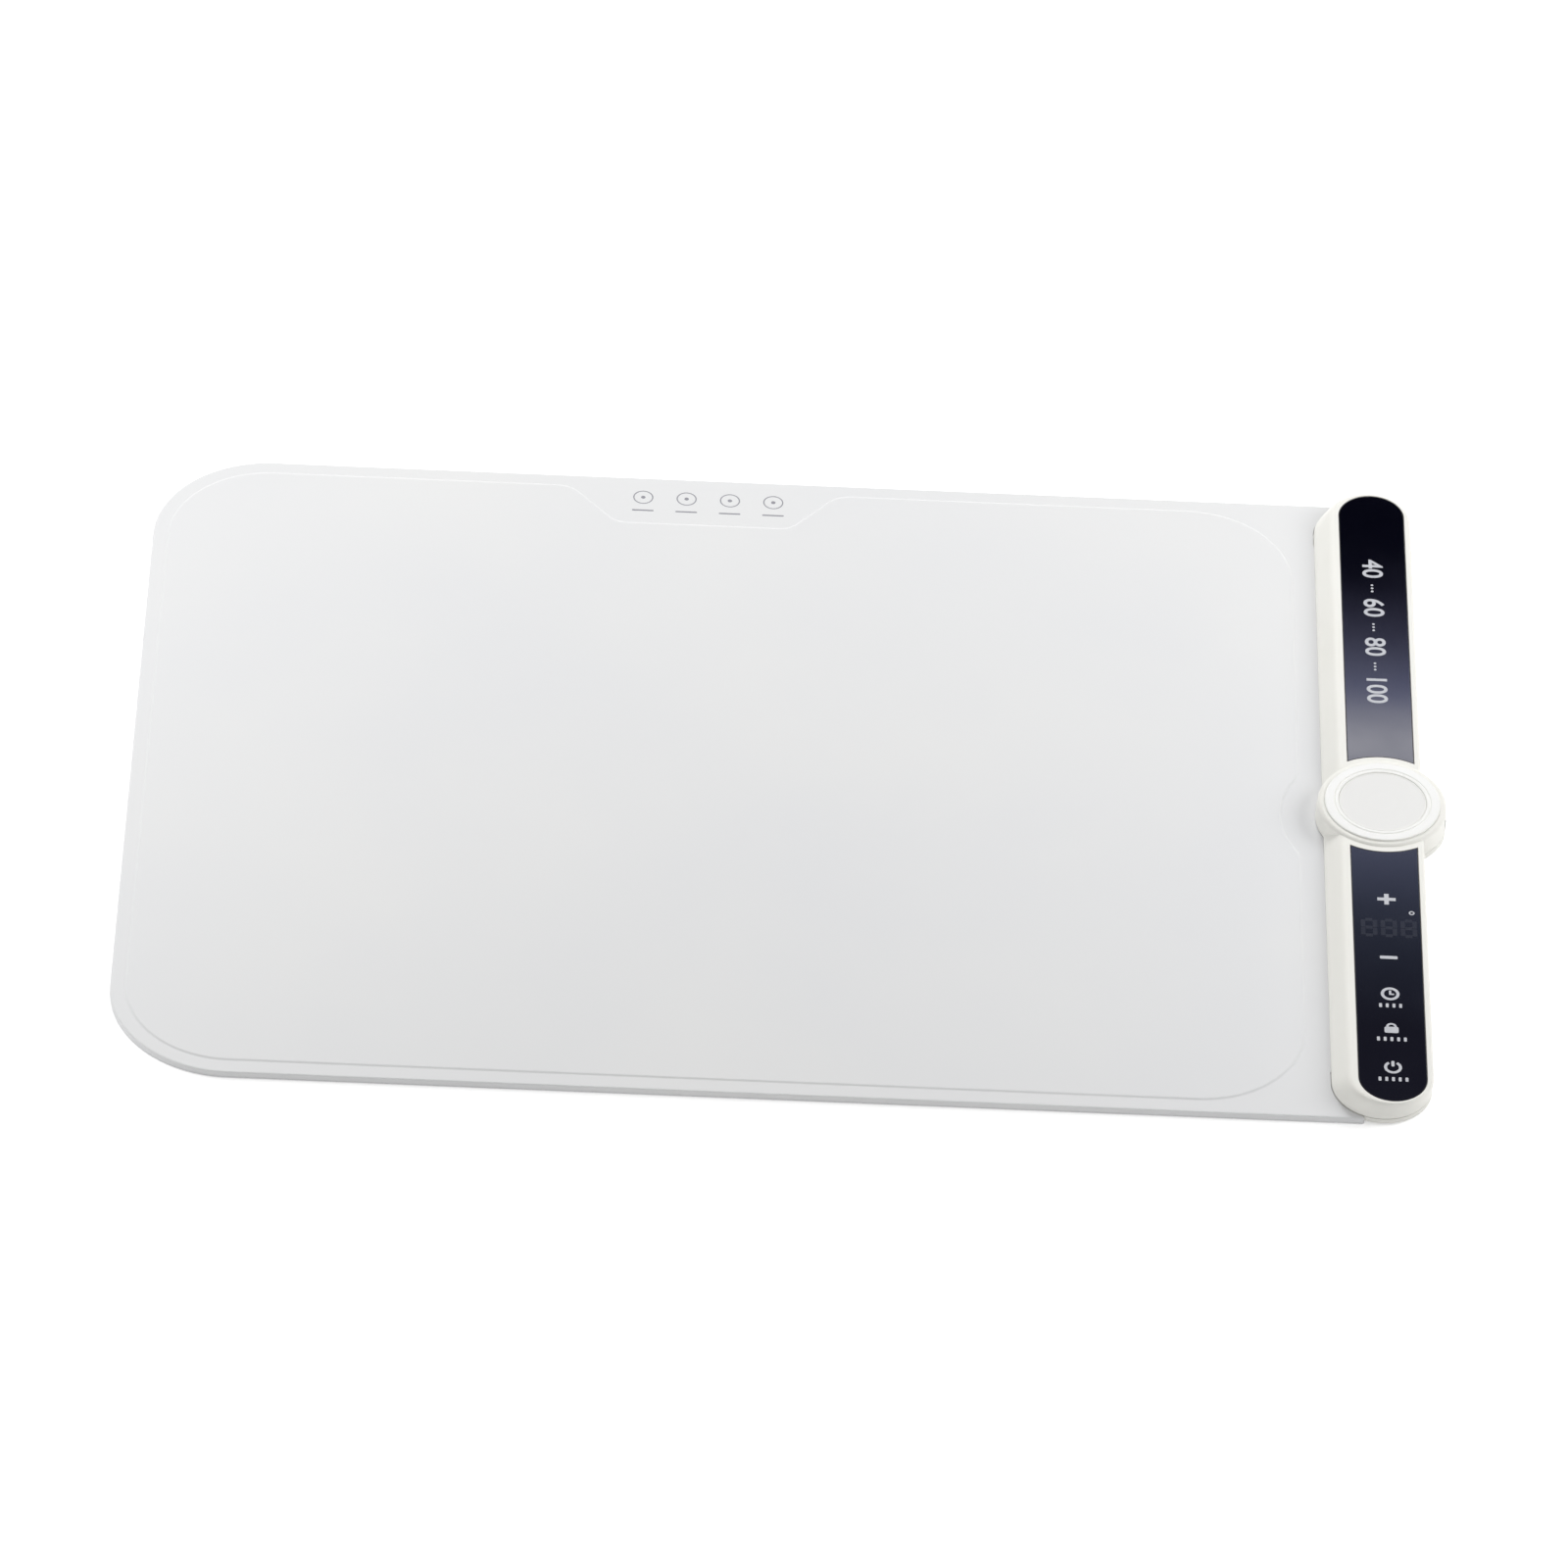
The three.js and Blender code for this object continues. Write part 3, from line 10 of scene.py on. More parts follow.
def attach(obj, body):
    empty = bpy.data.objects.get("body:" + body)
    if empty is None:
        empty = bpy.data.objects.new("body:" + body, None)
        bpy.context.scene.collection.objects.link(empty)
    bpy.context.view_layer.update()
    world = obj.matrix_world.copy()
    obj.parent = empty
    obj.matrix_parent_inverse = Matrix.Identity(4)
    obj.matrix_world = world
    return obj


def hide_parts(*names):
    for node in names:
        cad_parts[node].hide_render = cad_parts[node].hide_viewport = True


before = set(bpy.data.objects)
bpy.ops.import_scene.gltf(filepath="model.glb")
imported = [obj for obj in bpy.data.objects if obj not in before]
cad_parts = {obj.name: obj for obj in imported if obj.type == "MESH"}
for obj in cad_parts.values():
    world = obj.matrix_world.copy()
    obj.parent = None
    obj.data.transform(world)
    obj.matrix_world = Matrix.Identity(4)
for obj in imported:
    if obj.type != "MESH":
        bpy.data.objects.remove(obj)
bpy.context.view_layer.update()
scene = bpy.context.scene
METRES = 0.001
QUARTER = math.pi / 2
UP = Vector((0, 0, 1))

# Camera: a long lens, 41.5 degrees above the table, a little turned and rolled as in the photograph.
# The aim and the distance are in metres, the focal length and the shifts in pixels of the photograph
AIM = Vector((-0.005, 0, 0))
ELEVATION = math.radians(41.5)
YAW = math.radians(-1.1)
ROLL = math.radians(3.1)
FOCAL_PIXELS = 10739
PHOTO_PIXELS = 1600
DISTANCE = 4.5716
SHIFT_ACROSS = -7.6
SHIFT_DOWN = 0.5


def place_camera():
    data = bpy.data.cameras.new("photo_view")
    camera = bpy.data.objects.new("photo_view", data)
    scene.collection.objects.link(camera)
    scene.camera = camera
    data.sensor_width = 36
    data.lens = data.sensor_width * FOCAL_PIXELS / PHOTO_PIXELS
    data.clip_start = 0.1
    data.clip_end = 100
    back = Vector((
        math.sin(YAW) * math.cos(ELEVATION),
        -math.cos(YAW) * math.cos(ELEVATION),
        math.sin(ELEVATION),
    ))
    level = UP.cross(back).normalized()
    rise = back.cross(level)
    right = math.cos(ROLL) * level + math.sin(ROLL) * rise
    top = -math.sin(ROLL) * level + math.cos(ROLL) * rise
    pixel = DISTANCE / FOCAL_PIXELS
    place = AIM + back * DISTANCE - right * (SHIFT_ACROSS * pixel) + top * (SHIFT_DOWN * pixel)
    turn = Matrix((right, top, back)).transposed().to_4x4()
    camera.matrix_world = Matrix.Translation(place) @ turn


place_camera()

# Sizes, in millimetres. GAP is the room left between pieces that meet
MAT_LEFT, HALF_DEPTH = -285.0, 200.0
MAT_TOP, MAT_EDGE_ROUND = 3.2, 0.8
BAR_LEFT, BAR_RIGHT, BOSS_BACK = 232.2, 275.0, 285.0
BAR_MIDDLE = (BAR_LEFT + BAR_RIGHT) / 2
SEAM_LOW, SEAM_HIGH = 3.2, 3.5
BAR_TOP, BOSS_TOP, BOSS_LEAN = 12.0, 12.9, 0.4
PANEL_X, PANEL_HALF_WIDTH, PANEL_END = 257.45, 14.45, 197.7
PANEL_LOW, PANEL_TOP, PANEL_BED = 10.9, 11.9, 10.6
CEILING, BOSS_CEILING = 9.4, 10.7
BOSS_Y, BOSS_RADIUS, PANEL_ARC = -10.0, 28.6, 31.0
RING_RADIUS, RING_INNER, DISC_RADIUS = 25.2, 19.14, 19.1
RING_SEAT, RING_LOW, RING_TOP, DISC_TOP = 11.9, 12.2, 13.6, 13.4
BASE_LOW, BASE_FLOOR, LUG_ROOT = 0.6, 1.8, 1.1
WALL, BOSS_BACK_WALL = 1.8, 2.2
TONGUE_END, TONGUE_HALF = 245.8, 172.0
GAP = 0.3
PEG_X, PEG_PLACES = 240.0, (-150.0, -75.0, 75.0, 150.0)
SCREW_PLACES = (
    (BAR_MIDDLE, 188.0), (BAR_MIDDLE, -188.0), (270.0, 105.0), (270.0, -105.0),
    (278.75, 3.0), (278.75, -23.0),
)
POWER_BOARD_POSTS = ((262.7, 43.0), (250.2, 145.0))
CONTROL_BOARD_POSTS = ((262.7, -55.0), (250.2, -177.0))
BORE_RADIUS, POST_RADIUS = 1.2, 1.9
FOOT_X, FOOT_Y, FOOT_RADIUS = (241.2, 266.0), 162.0, 5.0
TOUCH_PAD_PLACES, TOUCH_PAD_WAY = (-70.8, -106.8, -128.8, -149.1, -171.1), 4.5
DISPLAY_X, DISPLAY_Y = (246.45, 268.45), (-94.8, -82.8)
INLET_X, INLET_Z, INLET_WAY, CONTACT_REACH = 269.0, 6.25, 7.7, 4.0
COVER_SPLIT, SPLIT_GAP = 275.15, 0.02
KEY_X = 257.6

# Points on round shapes, and the lengths under which points are merged or dropped
BOSS_STEPS = 144
ROUND_STEPS = 96
HALF_ROUND_STEPS = 48
MERGE_LENGTH, SLIVER_LENGTH = 0.0005, 0.0002
SHARP_ANGLE = math.radians(32)


# Drawing with loops of edges

def along(start):
    """The edges of an open run of edges, and its far end."""
    edges, vert, came = [], start, None
    while True:
        ahead = [edge for edge in vert.link_edges if edge is not came]
        if not ahead:
            return edges, vert
        came = ahead[0]
        edges.append(came)
        vert = came.other_vert(vert)


def arc_loop(bm, arcs, z):
    """A closed loop through arcs of (x, y, radius, from, turn, steps), joined by straight edges."""
    edges, ends = [], []
    for x, y, radius, start, turn, steps in arcs:
        first = bm.verts.new((x + radius * math.cos(start), y + radius * math.sin(start), z))
        bmesh.ops.spin(
            bm, geom=[first], cent=(x, y, z), axis=UP, angle=turn, steps=steps, use_merge=False,
        )
        run, last = along(first)
        edges += run
        ends.append((first, last))
    for (_, last), (first, _) in zip(ends, ends[1:] + ends[:1]):
        edges.append(bm.edges.new((last, first)))
    return edges


def corner_arcs(corners, inset=0.0):
    """Arcs for a counterclockwise outline of (x, y, radius, steps) corners, moved in by inset."""
    arcs = []
    for i, (x, y, radius, steps) in enumerate(corners):
        before, after = corners[i - 1], corners[(i + 1) % len(corners)]
        into = Vector((x - before[0], y - before[1])).normalized()
        out = Vector((after[0] - x, after[1] - y)).normalized()
        turn = math.atan2(into.x * out.y - into.y * out.x, into.dot(out))
        side = math.copysign(1, turn)
        mitre = inset / (1 + into.dot(out))
        x -= mitre * (into.y + out.y)
        y += mitre * (into.x + out.x)
        radius -= side * inset
        back = radius * math.tan(abs(turn) / 2)
        arcs.append((
            x - into.x * back - side * into.y * radius,
            y - into.y * back + side * into.x * radius,
            radius,
            math.atan2(-side * into.x, side * into.y),
            turn,
            steps,
        ))
    return arcs


def rectangle(x0, x1, y0, y1, radius, steps=8):
    return [(x, y, radius, steps) for x, y in ((x0, y0), (x1, y0), (x1, y1), (x0, y1))]


def stadium_arcs(x0, x1, end):
    """A stadium along Y, its round ends at plus and minus end."""
    radius, middle = (x1 - x0) / 2, (x0 + x1) / 2
    return [
        (middle, end - radius, radius, 0.0, math.pi, HALF_ROUND_STEPS),
        (middle, radius - end, radius, math.pi, math.pi, HALF_ROUND_STEPS),
    ]


def welded(bm):
    """Merges points that meet and turns the faces outwards."""
    bmesh.ops.remove_doubles(bm, verts=bm.verts, dist=MERGE_LENGTH)
    bmesh.ops.dissolve_degenerate(bm, edges=bm.edges, dist=MERGE_LENGTH)
    bmesh.ops.recalc_face_normals(bm, faces=bm.faces)
    return bm


def raised_outline(bm, arcs, z, height):
    """Fills an outline of arcs and extrudes it upwards. Gives what grew."""
    face = bmesh.ops.edgeloop_fill(bm, edges=arc_loop(bm, arcs, z))["faces"]
    grown = bmesh.ops.extrude_face_region(bm, geom=face)["geom"]
    rising = [item for item in grown if isinstance(item, bmesh.types.BMVert)]
    bmesh.ops.translate(bm, verts=rising, vec=(0, 0, height))
    return grown


def plate(arcs, z0, z1, bm=None):
    """A flat plate over an outline of arcs."""
    bm = bm or bmesh.new()
    raised_outline(bm, arcs, z0, z1 - z0)
    return welded(bm)


def stacked(levels):
    """A closed body through levels of (arcs, z), each higher than the last, all with as many points."""
    bm = bmesh.new()
    loops = [arc_loop(bm, arcs, z) for arcs, z in levels]
    for low, high in zip(loops, loops[1:]):
        bmesh.ops.bridge_loops(bm, edges=low + high)
    for loop in (loops[0], loops[-1]):
        bmesh.ops.edgeloop_fill(bm, edges=loop)
    return welded(bm)


def turned(profile, x, y, steps, bm=None):
    """A turned body round a vertical axis, from (radius, height) points."""
    bm = bm or bmesh.new()
    verts = [bm.verts.new((x + radius, y, z)) for radius, z in profile]
    edges = [bm.edges.new(pair) for pair in zip(verts, verts[1:])]
    bmesh.ops.spin(
        bm, geom=verts + edges, cent=(x, y, 0), axis=UP, angle=2 * math.pi, steps=steps, use_merge=True,
    )
    return welded(bm)


def block(x0, x1, y0, y1, z0, z1, bm=None):
    bm = bm or bmesh.new()
    place = Matrix.Translation(((x0 + x1) / 2, (y0 + y1) / 2, (z0 + z1) / 2))
    size = Matrix.Diagonal((x1 - x0, y1 - y0, z1 - z0, 1))
    bmesh.ops.create_cube(bm, size=1, matrix=place @ size)
    return bm


def pin(x, y, radius, z0, z1, steps=24, bm=None):
    """An upright cylinder."""
    bm = bm or bmesh.new()
    bmesh.ops.create_cone(
        bm, cap_ends=True, segments=steps, radius1=radius, radius2=radius, depth=z1 - z0,
        matrix=Matrix.Translation((x, y, (z0 + z1) / 2)),
    )
    return bm


def quarter_round(radius, steps):
    """Steps of (in, up) round a soft edge."""
    angles = [QUARTER * k / steps for k in range(steps + 1)]
    return [(radius * (1 - math.cos(a)), radius * math.sin(a)) for a in angles]


def rises(points):
    """The (width, rise) between each of the points and the next."""
    return [(b[0] - a[0], b[1] - a[1]) for a, b in zip(points, points[1:])]


def inset_steps(bm, face, steps):
    """Insets a face again and again by (width, rise)."""
    for width, rise in steps:
        bmesh.ops.inset_region(
            bm, faces=[face], thickness=width, depth=rise, use_boundary=True, use_even_offset=True,
        )


def linked_object(name, bm):
    """Puts a shape into the scene as an object."""
    mesh = bpy.data.meshes.new(name)
    bm.to_mesh(mesh)
    bm.free()
    holder = bpy.data.objects.new(name, mesh)
    scene.collection.objects.link(holder)
    return holder


def combined(bm, steps):
    """Cuts and joins, each an operation name and a bmesh, worked one after another."""
    body = linked_object("blank", bm)
    for operation, tool_bm in steps:
        tool = linked_object("tool", tool_bm)
        work = body.modifiers.new("work", "BOOLEAN")
        work.operation, work.solver, work.object = operation, "MANIFOLD", tool
        done = bpy.data.meshes.new_from_object(body.evaluated_get(bpy.context.evaluated_depsgraph_get()))
        body.modifiers.clear()
        body.data = done
        bpy.data.objects.remove(tool)
    result = bmesh.new()
    result.from_mesh(body.data)
    bpy.data.objects.remove(body)
    return result


def finish_piece(name, bm, slot, nodes=(), ink=None):
    """Makes the shape a named piece in metres on the one body, with its slot's finish or an ink."""
    bmesh.ops.dissolve_degenerate(bm, edges=bm.edges, dist=SLIVER_LENGTH)
    bmesh.ops.scale(bm, verts=bm.verts, vec=(METRES,) * 3)
    piece = linked_object(name, bm)
    piece.data.shade_smooth()
    piece.data.set_sharp_from_angle(angle=SHARP_ANGLE)
    piece.data.materials.append(ink or FINISHES[slot])
    flats = piece.modifiers.new("calm_flats", "WEIGHTED_NORMAL")
    flats.keep_sharp, flats.weight = True, 80
    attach(piece, "root")
    if nodes:
        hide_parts(*nodes)


# Effects that several materials share

def new_effect(name, inputs, outputs):
    group = bpy.data.node_groups.new(name, "ShaderNodeTree")
    for label, kind, value in inputs:
        socket = group.interface.new_socket(name=label, in_out="INPUT", socket_type="NodeSocket" + kind)
        if value is not None:
            socket.default_value = value
    for label, kind in outputs:
        group.interface.new_socket(name=label, in_out="OUTPUT", socket_type="NodeSocket" + kind)
    return group, group.nodes.new("NodeGroupInput"), group.nodes.new("NodeGroupOutput")


def put(tree, kind, values=None, **settings):
    """Adds a node, sets it and links or fills its inputs."""
    node = tree.nodes.new(kind)
    for key, value in settings.items():
        setattr(node, key, value)
    for key, value in (values or {}).items():
        if isinstance(value, bpy.types.NodeSocket):
            tree.links.new(value, node.inputs[key])
        else:
            node.inputs[key].default_value = value
    return node


def maths(tree, first, second, operation="ADD"):
    """One step of arithmetic on two values."""
    return put(tree, "ShaderNodeMath", {0: first, 1: second}, operation=operation).outputs[0]


def make_grain():
    """Fine moulded grain: a height made of two sizes of noise."""
    group, given, made = new_effect(
        "fine_grain",
        [("Vector", "Vector", None), ("Grain per metre", "Float", 2500.0)],
        [("Height", "Float")],
    )
    vector, rate = given.outputs["Vector"], given.outputs["Grain per metre"]
    fine = put(group, "ShaderNodeTexNoise", {
        "Vector": vector, "Scale": rate, "Detail": 3.0, "Roughness": 0.6,
    })
    wide_rate = maths(group, rate, 0.22, "MULTIPLY")
    wide = put(group, "ShaderNodeTexNoise", {"Vector": vector, "Scale": wide_rate, "Detail": 2.0})
    half = maths(group, wide.outputs["Fac"], 0.5, "MULTIPLY")
    group.links.new(maths(group, fine.outputs["Fac"], half), made.inputs["Height"])
    return group


def make_clouding():
    """A colour that drifts softly between two tones."""
    group, given, made = new_effect(
        "soft_clouding",
        [("Vector", "Vector", None), ("Tone", "Color", None), ("Other tone", "Color", None),
         ("Clouds per metre", "Float", 14.0)],
        [("Color", "Color")],
    )
    noise = put(group, "ShaderNodeTexNoise", {
        "Vector": given.outputs["Vector"], "Scale": given.outputs["Clouds per metre"], "Detail": 4.0,
    })
    spread = put(group, "ShaderNodeMapRange", {
        "Value": noise.outputs["Fac"], "From Min": 0.32, "From Max": 0.68,
    })
    mix = put(group, "ShaderNodeMix", {
        "Factor": spread.outputs[0], "A": given.outputs["Tone"], "B": given.outputs["Other tone"],
    }, data_type="RGBA")
    group.links.new(mix.outputs["Result"], made.inputs["Color"])
    return group


def make_turning():
    """Height of fine turned lines round the pattern's own axis, and wider bands for its tone."""
    group, given, made = new_effect(
        "turned_lines",
        [("Vector", "Vector", None), ("Lines per metre", "Float", 2500.0)],
        [("Height", "Float"), ("Band", "Float")],
    )
    apart = put(group, "ShaderNodeSeparateXYZ", {"Vector": given.outputs["Vector"]})
    square = maths(
        group,
        maths(group, apart.outputs["X"], 2.0, "POWER"),
        maths(group, apart.outputs["Y"], 2.0, "POWER"),
    )
    radius = maths(group, square, 0.5, "POWER")
    turns = maths(group, radius, given.outputs["Lines per metre"], "MULTIPLY")
    outwards = put(group, "ShaderNodeCombineXYZ", {"X": turns}).outputs[0]
    lines = put(group, "ShaderNodeTexNoise", {"Vector": outwards, "Scale": 1.0, "Detail": 2.0})
    bands = put(group, "ShaderNodeTexNoise", {"Vector": outwards, "Scale": 0.12, "Detail": 1.0})
    group.links.new(lines.outputs["Fac"], made.inputs["Height"])
    group.links.new(bands.outputs["Fac"], made.inputs["Band"])
    return group


def make_brushing():
    """Height of fine straight brushed lines along X."""
    group, given, made = new_effect(
        "brushed_lines",
        [("Vector", "Vector", None), ("Lines per metre", "Float", 3000.0)],
        [("Height", "Float")],
    )
    stretched = put(group, "ShaderNodeVectorMath", {
        0: given.outputs["Vector"], 1: (0.03, 1.0, 1.0),
    }, operation="MULTIPLY")
    noise = put(group, "ShaderNodeTexNoise", {
        "Vector": stretched.outputs[0], "Scale": given.outputs["Lines per metre"], "Detail": 2.0,
    })
    group.links.new(noise.outputs["Fac"], made.inputs["Height"])
    return group


GRAIN, CLOUDING, TURNING, BRUSHING = make_grain(), make_clouding(), make_turning(), make_brushing()


def new_material(name):
    material = bpy.data.materials.new(name)
    material.use_nodes = True
    return material, material.node_tree


class Finish:
    """A material under work: its shader takes plain values, and effects feed its colour and bumps."""

    def __init__(self, name, roughness, metallic=0.0, **plain):
        self.material, self.tree = new_material(name)
        self.shader = self.tree.nodes["Principled BSDF"]
        self.shader.inputs["Roughness"].default_value = roughness
        self.shader.inputs["Metallic"].default_value = metallic
        for key, value in plain.items():
            self.shader.inputs[key.replace("_", " ").title().replace("Ior", "IOR")].default_value = value
        self.place = self.put("ShaderNodeTexCoord").outputs["Object"]

    def put(self, kind, values=None, **settings):
        return put(self.tree, kind, values, **settings)

    def effect(self, group, **values):
        node = self.tree.nodes.new("ShaderNodeGroup")
        node.node_tree = group
        self.tree.links.new(self.place, node.inputs["Vector"])
        for key, value in values.items():
            node.inputs[key.replace("_", " ")].default_value = value
        return node

    def feed(self, socket, value):
        self.tree.links.new(value, self.shader.inputs[socket])
        return self

    def centred(self, x, y):
        """Moves the pattern's own axis to a point of the object."""
        self.place = self.put(
            "ShaderNodeMapping", {"Vector": self.place, "Location": (-x * METRES, -y * METRES, 0)},
        ).outputs[0]
        return self

    def clouds(self, tone, other, rate):
        """A base colour that drifts between two tones."""
        node = self.effect(CLOUDING, Tone=(*tone, 1), Other_tone=(*other, 1), Clouds_per_metre=rate)
        return self.feed("Base Color", node.outputs["Color"])

    def bump(self, height, depth, strength):
        """A bump of real depth, in millimetres."""
        node = self.put("ShaderNodeBump", {
            "Height": height, "Strength": strength, "Distance": depth * METRES,
        })
        return self.feed("Normal", node.outputs["Normal"])

    def grain(self, rate, depth, strength):
        return self.bump(self.effect(GRAIN, Grain_per_metre=rate).outputs["Height"], depth, strength)

    def rub(self, low, high, rate):
        """Roughness that wanders between two values."""
        noise = self.put("ShaderNodeTexNoise", {"Vector": self.place, "Scale": rate, "Detail": 5.0})
        spread = self.put("ShaderNodeMapRange", {
            "Value": noise.outputs["Fac"], "From Min": 0.3, "From Max": 0.7, "To Min": low, "To Max": high,
        })
        return self.feed("Roughness", spread.outputs[0])


def white_silicone():
    work = Finish("white_silicone", roughness=0.58, sheen_weight=0.04, sheen_roughness=0.5)
    work.clouds((0.797, 0.799, 0.797), (0.774, 0.779, 0.788), rate=7.0)
    return work.grain(rate=1900.0, depth=0.012, strength=0.55).material


def grey_silicone():
    work = Finish("grey_silicone", roughness=0.7)
    work.clouds((0.775, 0.778, 0.782), (0.735, 0.739, 0.745), rate=20.0)
    dots = work.put("ShaderNodeTexVoronoi", {"Vector": work.place, "Scale": 420.0, "Randomness": 0.0})
    round_dot = work.put("ShaderNodeMapRange", {
        "Value": dots.outputs["Distance"], "From Min": 0.28, "From Max": 0.42, "To Min": 1.0, "To Max": 0.0,
    })
    grain = work.effect(GRAIN, Grain_per_metre=1800.0).outputs["Height"]
    fine = maths(work.tree, grain, 0.12, "MULTIPLY")
    height = maths(work.tree, round_dot.outputs[0], fine)
    return work.bump(height, depth=0.15, strength=0.8).material


def cream_plastic():
    work = Finish("cream_plastic", roughness=0.42)
    work.clouds((0.865, 0.858, 0.812), (0.85, 0.842, 0.79), rate=18.0)
    work.rub(low=0.38, high=0.46, rate=60.0)
    return work.grain(rate=2600.0, depth=0.006, strength=0.5).material


def black_panel():
    work = Finish("black_panel", roughness=0.07, ior=1.5)
    work.clouds((0.0019, 0.002, 0.0055), (0.0015, 0.0016, 0.0045), rate=25.0)
    work.rub(low=0.06, high=0.1, rate=35.0)
    wave = work.put("ShaderNodeTexNoise", {"Vector": work.place, "Scale": 60.0, "Detail": 1.0})
    return work.bump(wave.outputs["Fac"], depth=0.004, strength=0.4).material


def white_gloss():
    work = Finish("white_gloss", roughness=0.24, coat_weight=0.1, coat_roughness=0.12)
    work.clouds((0.885, 0.883, 0.848), (0.87, 0.868, 0.834), rate=30.0)
    work.rub(low=0.22, high=0.25, rate=70.0)
    return work.grain(rate=1500.0, depth=0.002, strength=0.3).material


def spun_disc():
    work = Finish("spun_disc", roughness=0.4, metallic=0.15)
    work.centred(PANEL_X, BOSS_Y)
    lines = work.effect(TURNING, Lines_per_metre=2600.0)
    tone = work.put("ShaderNodeMix", {
        "Factor": lines.outputs["Band"], "A": (0.806, 0.801, 0.77, 1), "B": (0.826, 0.821, 0.79, 1),
    }, data_type="RGBA")
    work.feed("Base Color", tone.outputs["Result"])
    return work.bump(lines.outputs["Height"], depth=0.01, strength=0.6).material


def print_ink(name, tone, other, roughness):
    work = Finish(name, roughness)
    work.clouds(tone, other, rate=300.0)
    return work.grain(rate=4000.0, depth=0.002, strength=0.4).material


def felt():
    work = Finish("glass_felt", roughness=0.95, sheen_weight=0.3)
    work.clouds((0.78, 0.74, 0.63), (0.66, 0.61, 0.5), rate=260.0)
    fibre = work.put("ShaderNodeTexNoise", {
        "Vector": work.place, "Scale": 900.0, "Detail": 6.0, "Roughness": 0.75, "Distortion": 2.5,
    })
    return work.bump(fibre.outputs["Fac"], depth=0.25, strength=0.8).material


def polyimide():
    work = Finish("polyimide", roughness=0.33, coat_weight=0.4, coat_roughness=0.15)
    work.clouds((0.5, 0.19, 0.022), (0.42, 0.14, 0.014), rate=40.0)
    return work.grain(rate=700.0, depth=0.02, strength=0.4).material


def brushed(name, tone, other, roughness, rate, depth):
    work = Finish(name, roughness, metallic=1.0)
    work.clouds(tone, other, rate=60.0)
    lines = work.effect(BRUSHING, Lines_per_metre=rate)
    return work.bump(lines.outputs["Height"], depth, strength=0.7).material


def aluminium_foil():
    work = Finish("aluminium_foil", roughness=0.28, metallic=1.0)
    work.clouds((0.74, 0.75, 0.76), (0.66, 0.67, 0.68), rate=50.0)
    creases = work.put("ShaderNodeTexVoronoi", {
        "Vector": work.place, "Scale": 90.0, "Randomness": 1.0,
    }, feature="DISTANCE_TO_EDGE")
    return work.bump(creases.outputs["Distance"], depth=0.15, strength=0.35).material


def moulded(name, tone, other, roughness, rate, depth, metallic=0.0, coat=0.0):
    work = Finish(name, roughness, metallic, coat_weight=coat)
    work.clouds(tone, other, rate=120.0)
    return work.grain(rate, depth, strength=0.6).material


def board_green():
    work = Finish("board_green", roughness=0.42, coat_weight=0.3, coat_roughness=0.2)
    tracks = work.put("ShaderNodeTexBrick", {
        "Vector": work.place, "Color1": (0.012, 0.1, 0.036, 1), "Color2": (0.016, 0.13, 0.045, 1),
        "Mortar": (0.03, 0.2, 0.07, 1), "Scale": 260.0, "Mortar Size": 0.04, "Bias": 0.1,
    }, offset=0.35)
    work.feed("Base Color", tracks.outputs["Color"])
    return work.bump(tracks.outputs["Fac"], depth=0.02, strength=0.5).material


def winding_tape():
    work = Finish("winding_tape", roughness=0.45)
    work.clouds((0.68, 0.46, 0.07), (0.58, 0.38, 0.05), rate=150.0)
    wraps = work.put("ShaderNodeTexWave", {"Vector": work.place, "Scale": 500.0, "Distortion": 0.6})
    return work.bump(wraps.outputs["Fac"], depth=0.05, strength=0.6).material


def fuse_glass():
    work = Finish("fuse_glass", roughness=0.06, ior=1.5, transmission_weight=0.85)
    work.clouds((0.82, 0.88, 0.87), (0.76, 0.83, 0.82), rate=200.0)
    return work.grain(rate=600.0, depth=0.002, strength=0.3).material


# Each row has two tones and a roughness, then lines or grains to the metre and their depth in mm.
# Metallic and coat follow where there are any
BRUSHED = {
    "etched_alloy": ((0.36, 0.355, 0.34), (0.3, 0.295, 0.285), 0.4, 3000.0, 0.01),
    "spring_steel": ((0.56, 0.57, 0.59), (0.48, 0.49, 0.5), 0.32, 3000.0, 0.01),
    "brass": ((0.62, 0.43, 0.16), (0.52, 0.34, 0.11), 0.28, 4000.0, 0.005),
}
MOULDED = {
    "display_black": ((0.01, 0.01, 0.013), (0.014, 0.014, 0.018), 0.3, 1200.0, 0.004),
    "contact_foam": ((0.07, 0.07, 0.078), (0.045, 0.045, 0.05), 0.9, 1600.0, 0.15),
    "chip_black": ((0.012, 0.012, 0.013), (0.02, 0.02, 0.021), 0.55, 4000.0, 0.015),
    "copper": ((0.64, 0.27, 0.13), (0.5, 0.19, 0.085), 0.32, 900.0, 0.01, 1.0),
    "capacitor_sleeve": ((0.014, 0.03, 0.075), (0.02, 0.04, 0.095), 0.35, 900.0, 0.01, 0.0, 0.4),
    "varistor_coat": ((0.025, 0.11, 0.38), (0.018, 0.085, 0.31), 0.45, 700.0, 0.05),
    "wire_sleeve": ((0.82, 0.82, 0.81), (0.75, 0.75, 0.74), 0.45, 1500.0, 0.01),
    "zinc": ((0.58, 0.59, 0.61), (0.48, 0.5, 0.53), 0.34, 1400.0, 0.012, 1.0),
    "foot_rubber": ((0.6, 0.6, 0.57), (0.53, 0.53, 0.5), 0.85, 1500.0, 0.03),
    "black_nylon": ((0.013, 0.013, 0.014), (0.02, 0.02, 0.021), 0.48, 1800.0, 0.02),
}
